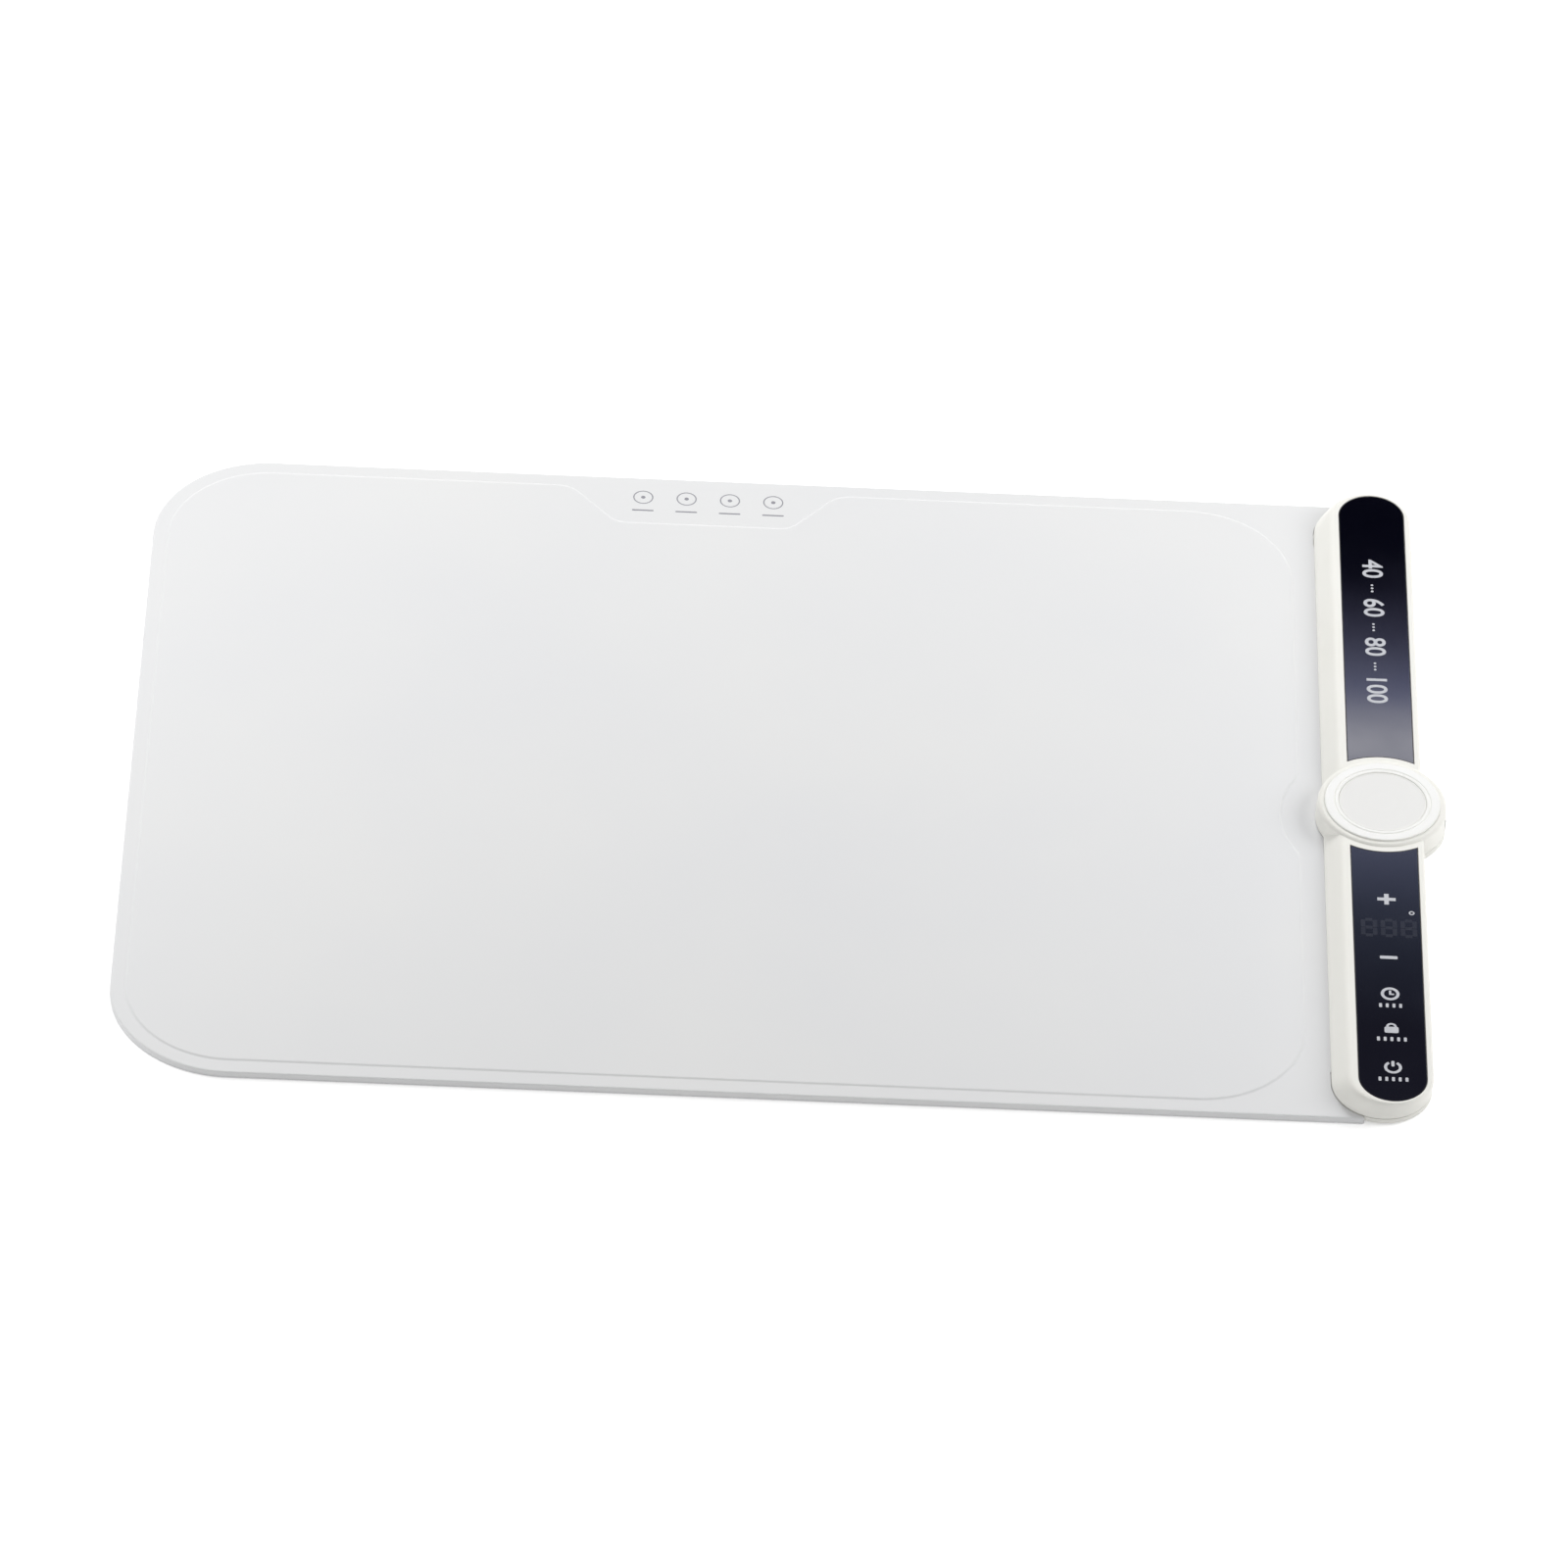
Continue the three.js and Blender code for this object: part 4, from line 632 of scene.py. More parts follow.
FINISHES = {
    "white_silicone": white_silicone(),
    "grey_silicone": grey_silicone(),
    "glass_felt": felt(),
    "polyimide": polyimide(),
    "aluminium_foil": aluminium_foil(),
    "cream_plastic": cream_plastic(),
    "black_panel": black_panel(),
    "white_gloss": white_gloss(),
    "spun_disc": spun_disc(),
    "board_green": board_green(),
    "winding_tape": winding_tape(),
    "fuse_glass": fuse_glass(),
}
FINISHES.update({name: brushed(name, *values) for name, values in BRUSHED.items()})
FINISHES.update({name: moulded(name, *values) for name, values in MOULDED.items()})
KEY_INK = print_ink("key_ink", (0.56, 0.57, 0.6), (0.5, 0.51, 0.55), 0.5)
GHOST_INK = print_ink("unlit_segments", (0.022, 0.0225, 0.028), (0.017, 0.0175, 0.023), 0.09)
FIELD_INK = print_ink("field_ink", (0.32, 0.32, 0.35), (0.27, 0.27, 0.3), 0.5)

# Inside pieces keep their CAD shapes, each with its finish
INSIDE = {
    "glass_felt": ["insulation_felt"],
    "polyimide": ["heater_film"],
    "etched_alloy": ["heating_track"],
    "aluminium_foil": ["heat_spreader_foil", "heat_sink"],
    "chip_black": ["thermistor", "microcontroller", "triac", "buzzer"],
    "copper": ["heater_lead_far", "heater_lead_near", "sensor_lead_far", "sensor_lead_near"],
    "spring_steel": ["mat_clamp_strip"],
    "zinc": [f"clamp_screw_{i}" for i in (1, 2, 3, 4)]
    + [f"{board}_board_screw_{i}" for board in ("power", "control") for i in (1, 2)],
    "wire_sleeve": ["inlet_wire_far", "inlet_wire_near", "board_link_cable", "thermal_fuse"],
    "board_green": ["power_board", "control_board"],
    "contact_foam": [f"touch_pad_{key}" for key in ("plus", "minus", "time", "lock", "power")],
    "display_black": ["display_module"],
    "fuse_glass": ["mains_fuse"],
    "varistor_coat": ["varistor"],
    "winding_tape": ["transformer"],
    "capacitor_sleeve": ["smoothing_capacitor"],
}
for finish_name, names in INSIDE.items():
    for node_name in names:
        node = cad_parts[node_name]
        node.data.materials.clear()
        node.data.materials.append(FINISHES[finish_name])


# Mat

CORNER_STEPS = 40
MAT_CORNER = 52.0
MAT_CORNERS = [
    (MAT_LEFT, -HALF_DEPTH, MAT_CORNER, CORNER_STEPS), (TONGUE_END, -HALF_DEPTH, 1.0, 4),
    (TONGUE_END, HALF_DEPTH, 1.0, 4), (MAT_LEFT, HALF_DEPTH, MAT_CORNER, CORNER_STEPS),
]
TOP_SKIN_LOW, BOTTOM_SKIN_TOP, BOTTOM_EDGE_ROUND = 0.9, 0.88, 0.35
CAVITY_BORDER, CAVITY_CORNER, CAVITY_TOP = 14, 38.5, 2.65
TONGUE_LOW, TONGUE_ROOT, PEG_HOLE_RADIUS = 2.1, 1.3, 2.8

# Ways of the leads under the skin: the middle and half width of each, where they start, and their heights
LEAD_WAYS = ((50.0, 1.75), (-50.0, 1.75), (0.0, 2.45))
LEAD_WAY_START, LEAD_WAY_HEIGHTS = 217.4, (1.7, 2.8)

# The heated field: its outline with the notch and with the arc that keeps off the boss
FIELD_LEFT, FIELD_RIGHT, FIELD_EDGE = MAT_LEFT + 6, BAR_LEFT - 9.7, HALF_DEPTH - 7
FIELD_LEFT_CORNER, FIELD_RIGHT_CORNER = 46.0, 47.0
NOTCH_X, NOTCH_FLOOR = MAT_LEFT + 244, FIELD_EDGE - 24
NOTCH_HALF_MOUTH, NOTCH_HALF_FLOOR = 59.5, 38.5
NOTCH_MOUTH_CORNER, NOTCH_FLOOR_CORNER, RELIEF_CORNER = 14.0, 10.0, 12.0
RELIEF_RADIUS, BLEND_ROOM = BOSS_RADIUS + 14.4, 13.2
RELIEF_HALF_ANGLE = math.acos((PANEL_X - FIELD_RIGHT + BLEND_ROOM) / (RELIEF_RADIUS + BLEND_ROOM))
RELIEF_POINT = PANEL_X - RELIEF_RADIUS / math.cos(RELIEF_HALF_ANGLE)
RELIEF_REACH = (FIELD_RIGHT - RELIEF_POINT) / math.tan(RELIEF_HALF_ANGLE)
FIELD_CORNERS = [
    (FIELD_LEFT, -FIELD_EDGE, FIELD_LEFT_CORNER, CORNER_STEPS),
    (FIELD_RIGHT, -FIELD_EDGE, FIELD_RIGHT_CORNER, CORNER_STEPS),
    (FIELD_RIGHT, BOSS_Y - RELIEF_REACH, RELIEF_CORNER, 12),
    (RELIEF_POINT, BOSS_Y, RELIEF_RADIUS, 36),
    (FIELD_RIGHT, BOSS_Y + RELIEF_REACH, RELIEF_CORNER, 12),
    (FIELD_RIGHT, FIELD_EDGE, FIELD_RIGHT_CORNER, CORNER_STEPS),
    (NOTCH_X + NOTCH_HALF_MOUTH, FIELD_EDGE, NOTCH_MOUTH_CORNER, 16),
    (NOTCH_X + NOTCH_HALF_FLOOR, NOTCH_FLOOR, NOTCH_FLOOR_CORNER, 16),
    (NOTCH_X - NOTCH_HALF_FLOOR, NOTCH_FLOOR, NOTCH_FLOOR_CORNER, 16),
    (NOTCH_X - NOTCH_HALF_MOUTH, FIELD_EDGE, NOTCH_MOUTH_CORNER, 16),
    (FIELD_LEFT, FIELD_EDGE, FIELD_LEFT_CORNER, CORNER_STEPS),
]

# Width of the flat border beside each soft edge, which keeps the shading of the flats calm
HOLDING = 0.3


def bar_footprint(z0, z1):
    """What is cut from the mat's skins for the bar."""
    return plate(stadium_arcs(BAR_LEFT - GAP, BAR_RIGHT + GAP, HALF_DEPTH + GAP), z0, z1)


def field_step():
    """Widths and rises of the soft step round the heated field."""
    width, height, count = 1.4, 0.4, 10
    heights = [height * (0.5 - math.cos(math.pi * k / count) / 2) for k in range(count + 1)]
    return [(width / count, high - low) for low, high in zip(heights, heights[1:])]


def mat_top_skin():
    """The top skin: a soft edge, the stepped field, the hollow for the layers and the tongue in the bar."""
    bm = bmesh.new()
    height = MAT_TOP - MAT_EDGE_ROUND - TOP_SKIN_LOW
    grown = raised_outline(bm, corner_arcs(MAT_CORNERS), TOP_SKIN_LOW, height)
    bmesh.ops.recalc_face_normals(bm, faces=bm.faces)
    top = next(item for item in grown if isinstance(item, bmesh.types.BMFace))
    inset_steps(bm, top, rises(quarter_round(MAT_EDGE_ROUND, 6)) + [(HOLDING, 0)])
    bmesh.ops.delete(bm, geom=[top], context="FACES_ONLY")
    outline = arc_loop(bm, corner_arcs(FIELD_CORNERS, -HOLDING), MAT_TOP)
    field = bmesh.ops.edgeloop_fill(bm, edges=outline)["faces"][0]
    if field.normal.z < 0:
        field.normal_flip()
    inset_steps(bm, field, [(HOLDING, 0)] + field_step() + [(HOLDING, 0)])
    shores = [edge for edge in bm.edges if edge.is_boundary]
    bmesh.ops.triangle_fill(bm, edges=shores, use_beauty=True, normal=UP)
    welded(bm)
    left, right, side = MAT_LEFT + CAVITY_BORDER, BAR_LEFT - CAVITY_BORDER, HALF_DEPTH - CAVITY_BORDER
    cavity = plate(corner_arcs(rectangle(left, right, -side, side, CAVITY_CORNER, 16)), -1, CAVITY_TOP)
    tongue = block(BAR_LEFT - TONGUE_ROOT, TONGUE_END, -TONGUE_HALF, TONGUE_HALF, TONGUE_LOW, MAT_TOP)
    ways = bmesh.new()
    for y in PEG_PLACES:
        pin(PEG_X, y, PEG_HOLE_RADIUS, -2, 5, 32, ways)
    for y, half in LEAD_WAYS:
        block(LEAD_WAY_START, TONGUE_END + 2, y - half, y + half, *LEAD_WAY_HEIGHTS, ways)
    return combined(bm, [
        ("DIFFERENCE", bar_footprint(-2, 6)), ("DIFFERENCE", cavity), ("UNION", tongue),
        ("DIFFERENCE", ways),
    ])


def mat_bottom_skin():
    """The underside skin, its lower edge softened."""
    bm = plate(corner_arcs(MAT_CORNERS), 0.0, BOTTOM_SKIN_TOP)
    low = min(bm.faces, key=lambda face: face.calc_center_median().z)
    for vert in low.verts:
        vert.co.z = BOTTOM_EDGE_ROUND
    inset_steps(bm, low, rises(quarter_round(BOTTOM_EDGE_ROUND, 4)) + [(HOLDING, 0)])
    return combined(welded(bm), [("DIFFERENCE", bar_footprint(-2, 3))])


finish_piece("silicone_top", mat_top_skin(), "white_silicone", ["mat_top_skin"])
finish_piece("silicone_underside", mat_bottom_skin(), "grey_silicone", ["mat_bottom_skin"])


# Control bar

# How far the left flank leans in at each height
LEFT_FLANK = (
    (0.0, SEAM_HIGH), (0.1, 4.3), (0.4, 5.1), (0.85, 5.8), (1.4, 6.5), (2.0, 7.2), (2.7, 8.05), (3.4, 8.9),
    (4.0, 9.6), (4.5, 10.17), (5.0, 10.66), (5.5, 11.07), (6.0, 11.4), (6.5, 11.65), (7.1, 11.85),
    (7.8, 11.96), (8.6, BAR_TOP),
)
SHOULDER_START, RIGHT_LEAN, END_LEAN = 9.6, 1.4, 1.2
SHELL_CUT_LOW = 1.5


def shoulder_inset(height, reach):
    """How far the right side or an end leans in at a height."""
    share = min(1.0, max(0.0, (height - SHOULDER_START) / (BAR_TOP - SHOULDER_START)))
    return reach * (1 - math.sqrt(1 - share * share))


def bar_outside():
    levels = []
    for left, z in LEFT_FLANK:
        right, end = shoulder_inset(z, RIGHT_LEAN), shoulder_inset(z, END_LEAN)
        levels.append((stadium_arcs(BAR_LEFT + left, BAR_RIGHT - right, HALF_DEPTH - end), z))
    return stacked(levels)


def bar_inside():
    """The hollow of the upper shell, its left side leaning with the flank."""
    leans = ((0, SHELL_CUT_LOW), (0, SEAM_HIGH), (0.4, 5.1), (4, CEILING))
    return stacked([
        (stadium_arcs(BAR_LEFT + (lean + WALL), BAR_RIGHT - WALL, HALF_DEPTH - WALL), z) for lean, z in leans
    ])


def cut_back(bm, x):
    """Cuts off what lies to the right of x and closes the cut."""
    whole = list(bm.verts) + list(bm.edges) + list(bm.faces)
    bmesh.ops.bisect_plane(bm, geom=whole, plane_co=(x, 0, 0), plane_no=(1, 0, 0), clear_outer=True)
    bmesh.ops.holes_fill(bm, edges=[edge for edge in bm.edges if edge.is_boundary])
    return welded(bm)


def boss_body():
    """The boss, its side leaning in a little, with a rounded top edge and a flat back."""
    shoulder, rounding, flat_from = BOSS_RADIUS - BOSS_LEAN, 2.0, 2.2
    bend = (BOSS_RADIUS - 0.1, 5.4)
    fillet = [(shoulder - i, BOSS_TOP - rounding + r) for i, r in quarter_round(rounding, 10)]
    profile = [(0, SEAM_HIGH), (BOSS_RADIUS, SEAM_HIGH), bend] + fillet
    profile += [(shoulder - flat_from, BOSS_TOP), (0, BOSS_TOP)]
    return cut_back(turned(profile, PANEL_X, BOSS_Y, BOSS_STEPS), BOSS_BACK)


def panel_arcs(grow, rear):
    """Outline of the rear or the front touch panel, kept off the boss."""
    half, end, arc = PANEL_HALF_WIDTH + grow, PANEL_END + grow, PANEL_ARC - grow
    lean = math.asin(half / arc)
    side = 1 if rear else -1
    first = 0.0 if rear else math.pi
    return [
        (PANEL_X, side * (end - half), half, first, math.pi, HALF_ROUND_STEPS),
        (PANEL_X, BOSS_Y, arc, side * QUARTER + lean, -2 * lean, 24),
    ]


def panel_recess(rear):
    """What is cut from the bar's top for a panel."""
    return plate(panel_arcs(GAP, rear), PANEL_BED, 15)


def inlet_opening(x, z0, z1):
    """What is cut from the housing for the inlet, as far to the right as x."""
    return block(INLET_X, x, BOSS_Y - INLET_WAY, BOSS_Y + INLET_WAY, z0, z1)


def bar_shell():
    """The upper shell with the boss, still in one with the cover over the inlet."""
    hollow_radius, ring_gap, lug_radius, lug_root = BOSS_RADIUS - BOSS_LEAN - WALL, 0.06, 2.6, 0.8
    post_low, post_root, post_bore_low, post_bore_top = 8.8, 10.2, 5.0, 10.1
    hollow = pin(PANEL_X, BOSS_Y, hollow_radius, SHELL_CUT_LOW, BOSS_CEILING, ROUND_STEPS)
    hollow = cut_back(hollow, BOSS_BACK - BOSS_BACK_WALL)
    lugs, bores = bmesh.new(), bmesh.new()
    for x, y in SCREW_PLACES:
        ceiling = BOSS_CEILING if x > BAR_RIGHT else CEILING
        pin(x, y, lug_radius, SEAM_HIGH, ceiling + lug_root, bm=lugs)
        pin(x, y, BORE_RADIUS, SHELL_CUT_LOW, CEILING, bm=bores)
    for x, y in CONTROL_BOARD_POSTS:
        pin(x, y, POST_RADIUS, post_low, post_root, bm=lugs)
        pin(x, y, BORE_RADIUS, post_bore_low, post_bore_top, bm=bores)
    openings, openings_low, openings_top = bmesh.new(), 7, 11.2
    for y in TOUCH_PAD_PLACES:
        pin(PANEL_X, y, TOUCH_PAD_WAY, openings_low, openings_top, 32, openings)
    block(*DISPLAY_X, *DISPLAY_Y, openings_low, openings_top, openings)
    seat = pin(PANEL_X, BOSS_Y, RING_RADIUS + ring_gap, RING_SEAT, 16, BOSS_STEPS)
    inlet_way = inlet_opening(BOSS_BACK + 3, SHELL_CUT_LOW, BOSS_CEILING)
    return combined(bar_outside(), [
        ("UNION", boss_body()), ("DIFFERENCE", bar_inside()), ("DIFFERENCE", hollow), ("UNION", lugs),
        ("DIFFERENCE", seat), ("DIFFERENCE", panel_recess(True)), ("DIFFERENCE", panel_recess(False)),
        ("DIFFERENCE", openings), ("DIFFERENCE", inlet_way), ("DIFFERENCE", bores),
    ])


def behind_bar(x):
    """The room to the right of x, where the cover over the inlet is."""
    return block(x, BOSS_BACK + 5, BOSS_Y - 40, BOSS_Y + 40, -2, 20)


shell = bar_shell()
cover = combined(shell.copy(), [("INTERSECT", behind_bar(COVER_SPLIT + SPLIT_GAP))])
shell = combined(shell, [("DIFFERENCE", behind_bar(COVER_SPLIT - SPLIT_GAP))])
finish_piece("bar_shell", shell, "cream_plastic", ["housing_top"])
finish_piece("inlet_hood", cover, "cream_plastic", ["inlet_cover"])


def base_plan(inset, z0, z1, corner=0.0):
    """The bar's plan as a body, its lower edge rounded by corner."""
    def stadium(more):
        return stadium_arcs(BAR_LEFT + inset + more, BAR_RIGHT - inset - more, HALF_DEPTH - inset - more)

    levels = [(stadium(0), z0)]
    if corner:
        levels = [(stadium(i), z0 + corner - r) for i, r in reversed(quarter_round(corner, 5))]
    return stacked(levels + [(stadium(0), z1)])


def boss_plan(radius, z0, z1, steps, back):
    """The boss's round plan as a body with its flat back."""
    return cut_back(pin(PANEL_X, BOSS_Y, radius, z0, z1, steps), back)


def bar_base():
    """The lower tray of the bar: openings for mat and inlet, lugs, bores, and sinks for heads and feet."""
    above, below, left_of_bar = 6, -1, 225
    screw_lug, peg_radius, post_top, bore_low = 3.6, 2.4, 3.1, 1.0
    head_sink, head_sink_top, foot_sink_top = 2.3, 2.0, 1.1
    tray = base_plan(0.0, BASE_LOW, SEAM_LOW, 0.5)
    inner = base_plan(WALL, BASE_FLOOR, above)
    round_plan = boss_plan(BOSS_RADIUS, BASE_LOW, SEAM_LOW, BOSS_STEPS, BOSS_BACK)
    round_inner = boss_plan(BOSS_RADIUS - WALL, BASE_FLOOR, above, ROUND_STEPS, BOSS_BACK - WALL)
    half = TONGUE_HALF + GAP
    ways = block(left_of_bar, TONGUE_END + GAP, -half, half, BASE_FLOOR, above)
    inlet_way = inlet_opening(BOSS_BACK + 5, BASE_FLOOR, above)
    lugs, bores, sinks = bmesh.new(), bmesh.new(), bmesh.new()
    for x, y in SCREW_PLACES:
        pin(x, y, screw_lug, LUG_ROOT, SEAM_LOW, 32, lugs)
        pin(x, y, BORE_RADIUS, 0, above, bm=bores)
        pin(x, y, head_sink, below, head_sink_top, 32, sinks)
    for y in PEG_PLACES:
        pin(PEG_X, y, peg_radius, LUG_ROOT, SEAM_LOW, 32, lugs)
        pin(PEG_X, y, BORE_RADIUS, bore_low, above, bm=bores)
    for x, y in POWER_BOARD_POSTS:
        pin(x, y, POST_RADIUS, LUG_ROOT, post_top, bm=lugs)
        pin(x, y, BORE_RADIUS, bore_low, above, bm=bores)
    for x in FOOT_X:
        for y in (FOOT_Y, -FOOT_Y):
            pin(x, y, FOOT_RADIUS + GAP, below, foot_sink_top, 64, sinks)
    return combined(tray, [
        ("UNION", round_plan), ("DIFFERENCE", inner), ("DIFFERENCE", round_inner), ("DIFFERENCE", ways),
        ("DIFFERENCE", inlet_way), ("UNION", lugs), ("DIFFERENCE", bores), ("DIFFERENCE", sinks),
    ])


finish_piece("bar_base", bar_base(), "cream_plastic", ["housing_base"])


# Touch panels

def touch_panel(rear):
    """A glossy plate with a rounded rim."""
    rim = 0.25
    levels = [(panel_arcs(0, rear), PANEL_LOW)]
    levels += [(panel_arcs(-i, rear), PANEL_TOP - rim + r) for i, r in quarter_round(rim, 4)]
    return stacked(levels)


finish_piece("rear_touch_panel", touch_panel(True), "black_panel", ["rear_panel"])
finish_piece("front_touch_panel", touch_panel(False), "black_panel", ["front_panel"])


# Medallion

def medallion_ring():
    """A ring with a rounded outer edge and one fine groove."""
    rounding = 0.5
    outer = [(RING_RADIUS - i, RING_TOP - rounding + r) for i, r in quarter_round(rounding, 6)]
    groove = [(21.35, RING_TOP), (21.2, 13.5), (20.9, 13.38), (20.6, 13.5), (20.45, RING_TOP)]
    profile = [(RING_INNER, RING_LOW), (RING_RADIUS, RING_LOW)] + outer
    profile += [(RING_RADIUS - 0.7, RING_TOP), (21.6, RING_TOP)] + groove
    profile += [(20.2, RING_TOP), (19.6, RING_TOP), (19.3, RING_TOP - 0.05)]
    profile += [(RING_INNER, RING_TOP - 0.15), (RING_INNER, RING_LOW)]
    return turned(profile, PANEL_X, BOSS_Y, BOSS_STEPS)


def medallion_disc():
    """A disc whose face lies a little below its rim."""
    rounding, dish = 0.3, 0.1
    rim = [(DISC_RADIUS - i, DISC_TOP - rounding + r) for i, r in quarter_round(rounding, 5)]
    profile = [(0, RING_LOW), (DISC_RADIUS, RING_LOW)] + rim
    profile += [(18.5, DISC_TOP), (18.35, DISC_TOP - 0.03), (18.2, DISC_TOP - 0.08)]
    profile += [(17.9, DISC_TOP - dish), (0, DISC_TOP - dish)]
    return turned(profile, PANEL_X, BOSS_Y, BOSS_STEPS)


finish_piece("white_ring", medallion_ring(), "white_gloss", ["medallion_ring"])
finish_piece("turned_disc", medallion_disc(), "spun_disc", ["medallion_disc"])


# Feet, screws and inlet

def foot(x, y):
    """A rubber pad with three round grooves below."""
    rounding, top, groove_depth, mouth_half, floor_half = 0.35, 0.8, 0.14, 0.25, 0.1
    rim = [(FOOT_RADIUS - i, rounding - r) for i, r in quarter_round(rounding, 5)]
    profile = [(0, top), (FOOT_RADIUS, top)] + rim + [(4.1, 0.0)]
    for radius in (3.6, 2.6, 1.6):
        profile += [(radius + mouth_half, 0.0), (radius + floor_half, groove_depth)]
        profile += [(radius - floor_half, groove_depth), (radius - mouth_half, 0.0)]
    return turned(profile + [(0, 0)], x, y, 64)


for end, y in (("far", FOOT_Y), ("near", -FOOT_Y)):
    for side, x in zip(("left", "right"), FOOT_X):
        finish_piece(f"foot_pad_{end}_{side}", foot(x, y), "foot_rubber", [f"foot_{end}_{side}"])


def housing_screw(x, y):
    """Head down, with a cross recess."""
    seat, head, head_radius, plain_shank, tip = 1.8, 1.1, 2.1, 0.7, 8.2
    turns, pitch, flank, root, crest = 6, 0.85, 0.3, 0.82, 1.0
    recess_reach, recess_half, recess_depth = 1.3, 0.32, 0.5
    low = seat - head
    profile = [(0, low), (1.75, low), (1.95, low + 0.06), (2.07, low + 0.2), (head_radius, low + 0.4)]
    profile += [(head_radius, seat), (crest, seat)]
    for k in range(turns):
        z = seat + plain_shank + k * pitch
        profile += [(root, z), (crest, z + flank), (root, z + 2 * flank)]
    profile += [(0.5, 8.0), (0, tip)]
    recess = []
    for across, deep in ((recess_reach, recess_half), (recess_half, recess_reach)):
        slot_shape = block(x - across, x + across, y - deep, y + deep, low - 1, low + recess_depth)
        recess.append(("DIFFERENCE", slot_shape))
    return combined(turned(profile, x, y, 48), recess)


for i, (x, y) in enumerate(SCREW_PLACES, 1):
    finish_piece(f"case_screw_{i}", housing_screw(x, y), "zinc", [f"housing_screw_{i}"])


def laid_to_x(bm, x, y, z):
    """Turns a shape drawn flat so that it faces along X, and puts it at a place."""
    turn = Matrix(((0, 0, 1), (1, 0, 0), (0, 1, 0))).to_4x4()
    bmesh.ops.transform(bm, verts=bm.verts, matrix=Matrix.Translation((x, y, z)) @ turn)
    return bm


def power_inlet():
    """The inlet's body, with a softened mouth and an open well for the two pins."""
    half_width, half_height, length, softening = 7.4, 4.15, 16.0, 0.25
    well_half_width, well_half_height, well_floor = 6.5, 3.25, 1.6
    shell_corners = rectangle(-half_width, half_width, -half_height, half_height, 1.2)
    well_corners = rectangle(-well_half_width, well_half_width, -well_half_height, well_half_height, 0.6)
    outside, slim = corner_arcs(shell_corners), corner_arcs(shell_corners, softening)
    well, mouth = corner_arcs(well_corners), corner_arcs(well_corners, -softening)
    body = stacked([(outside, 0), (outside, length - softening), (slim, length)])
    hole = stacked([(well, well_floor), (well, 15.7), (mouth, 16.05), (mouth, length + 1)])
    bores = bmesh.new()
    for across in (-CONTACT_REACH, CONTACT_REACH):
        pin(across, 0, BORE_RADIUS, -1, 3, bm=bores)
    body = combined(body, [("DIFFERENCE", hole), ("DIFFERENCE", bores)])
    return laid_to_x(body, INLET_X, BOSS_Y, INLET_Z)


def inlet_pin(y):
    """A round contact with a domed tip."""
    radius, length, behind = 1.1, 15.0, 2
    profile = [(0, 0), (radius, 0), (radius, 14.3), (1.05, 14.55), (0.9, 14.8), (0.6, 14.95), (0, length)]
    return laid_to_x(turned(profile, 0, 0, 32), INLET_X - behind, y, INLET_Z)


finish_piece("inlet_body", power_inlet(), "black_nylon", ["power_inlet"])
finish_piece("inlet_contact_far", inlet_pin(BOSS_Y + CONTACT_REACH), "brass", ["inlet_pin_far"])
finish_piece("inlet_contact_near", inlet_pin(BOSS_Y - CONTACT_REACH), "brass", ["inlet_pin_near"])


# Printed marks, thin plates on the panel and on the mat's notch

INK_LOW, INK_TOP = PANEL_TOP + 0.002, PANEL_TOP + 0.018
PLUS_Y, MINUS_Y, CLOCK_Y, POWER_Y = -71.3, -108.3, -131.2, -176.9
LOCK_Y, LOCK_BOW_Y, POWER_BAR_Y = -153.7, -151.78, -174.7
CLOCK_ROW_Y, LOCK_ROW_Y, POWER_ROW_Y = -138.5, -159.4, -184.2
SMALL_RING_X, SMALL_RING_Y = KEY_X + 10.6, -79.6
DIGITS_X, DIGITS_Y = (249.7, 258.2, 266.7), -89.6
SCALE_X = KEY_X - 1.0


def bar_mark(bm, x, y, width, height, z=(INK_LOW, INK_TOP), radius=0.3):
    """A flat bar with rounded corners."""
    arcs = corner_arcs(rectangle(x - width / 2, x + width / 2, y - height / 2, y + height / 2, radius, 4))
    return plate(arcs, *z, bm)


def ring_mark(bm, x, y, outer, inner, z=(INK_LOW, INK_TOP)):
    low, high = z
    return turned([(inner, low), (outer, low), (outer, high), (inner, high), (inner, low)], x, y, 48, bm)


def arc_mark(bm, x, y, outer, inner, start, turn):
    """A stretch of a flat ring."""
    arcs = [(x, y, outer, start, turn, 36), (x, y, inner, start + turn, -turn, 36)]
    return plate(arcs, INK_LOW, INK_TOP, bm)


def cornered_mark(bm, x, y, corners):
    """A mark with straight sides through its corners, counterclockwise."""
    rounding = 0.12
    return plate(corner_arcs([(x + a, y + b, rounding, 3) for a, b in corners]), INK_LOW, INK_TOP, bm)


def stroke_row(bm, x, y, count):
    """A short row of plain upright strokes."""
    spacing, width, height = 2.85, 1.25, 2.5
    for k in range(count):
        bar_mark(bm, x + (k - (count - 1) / 2) * spacing, y, width, height, radius=0.35)


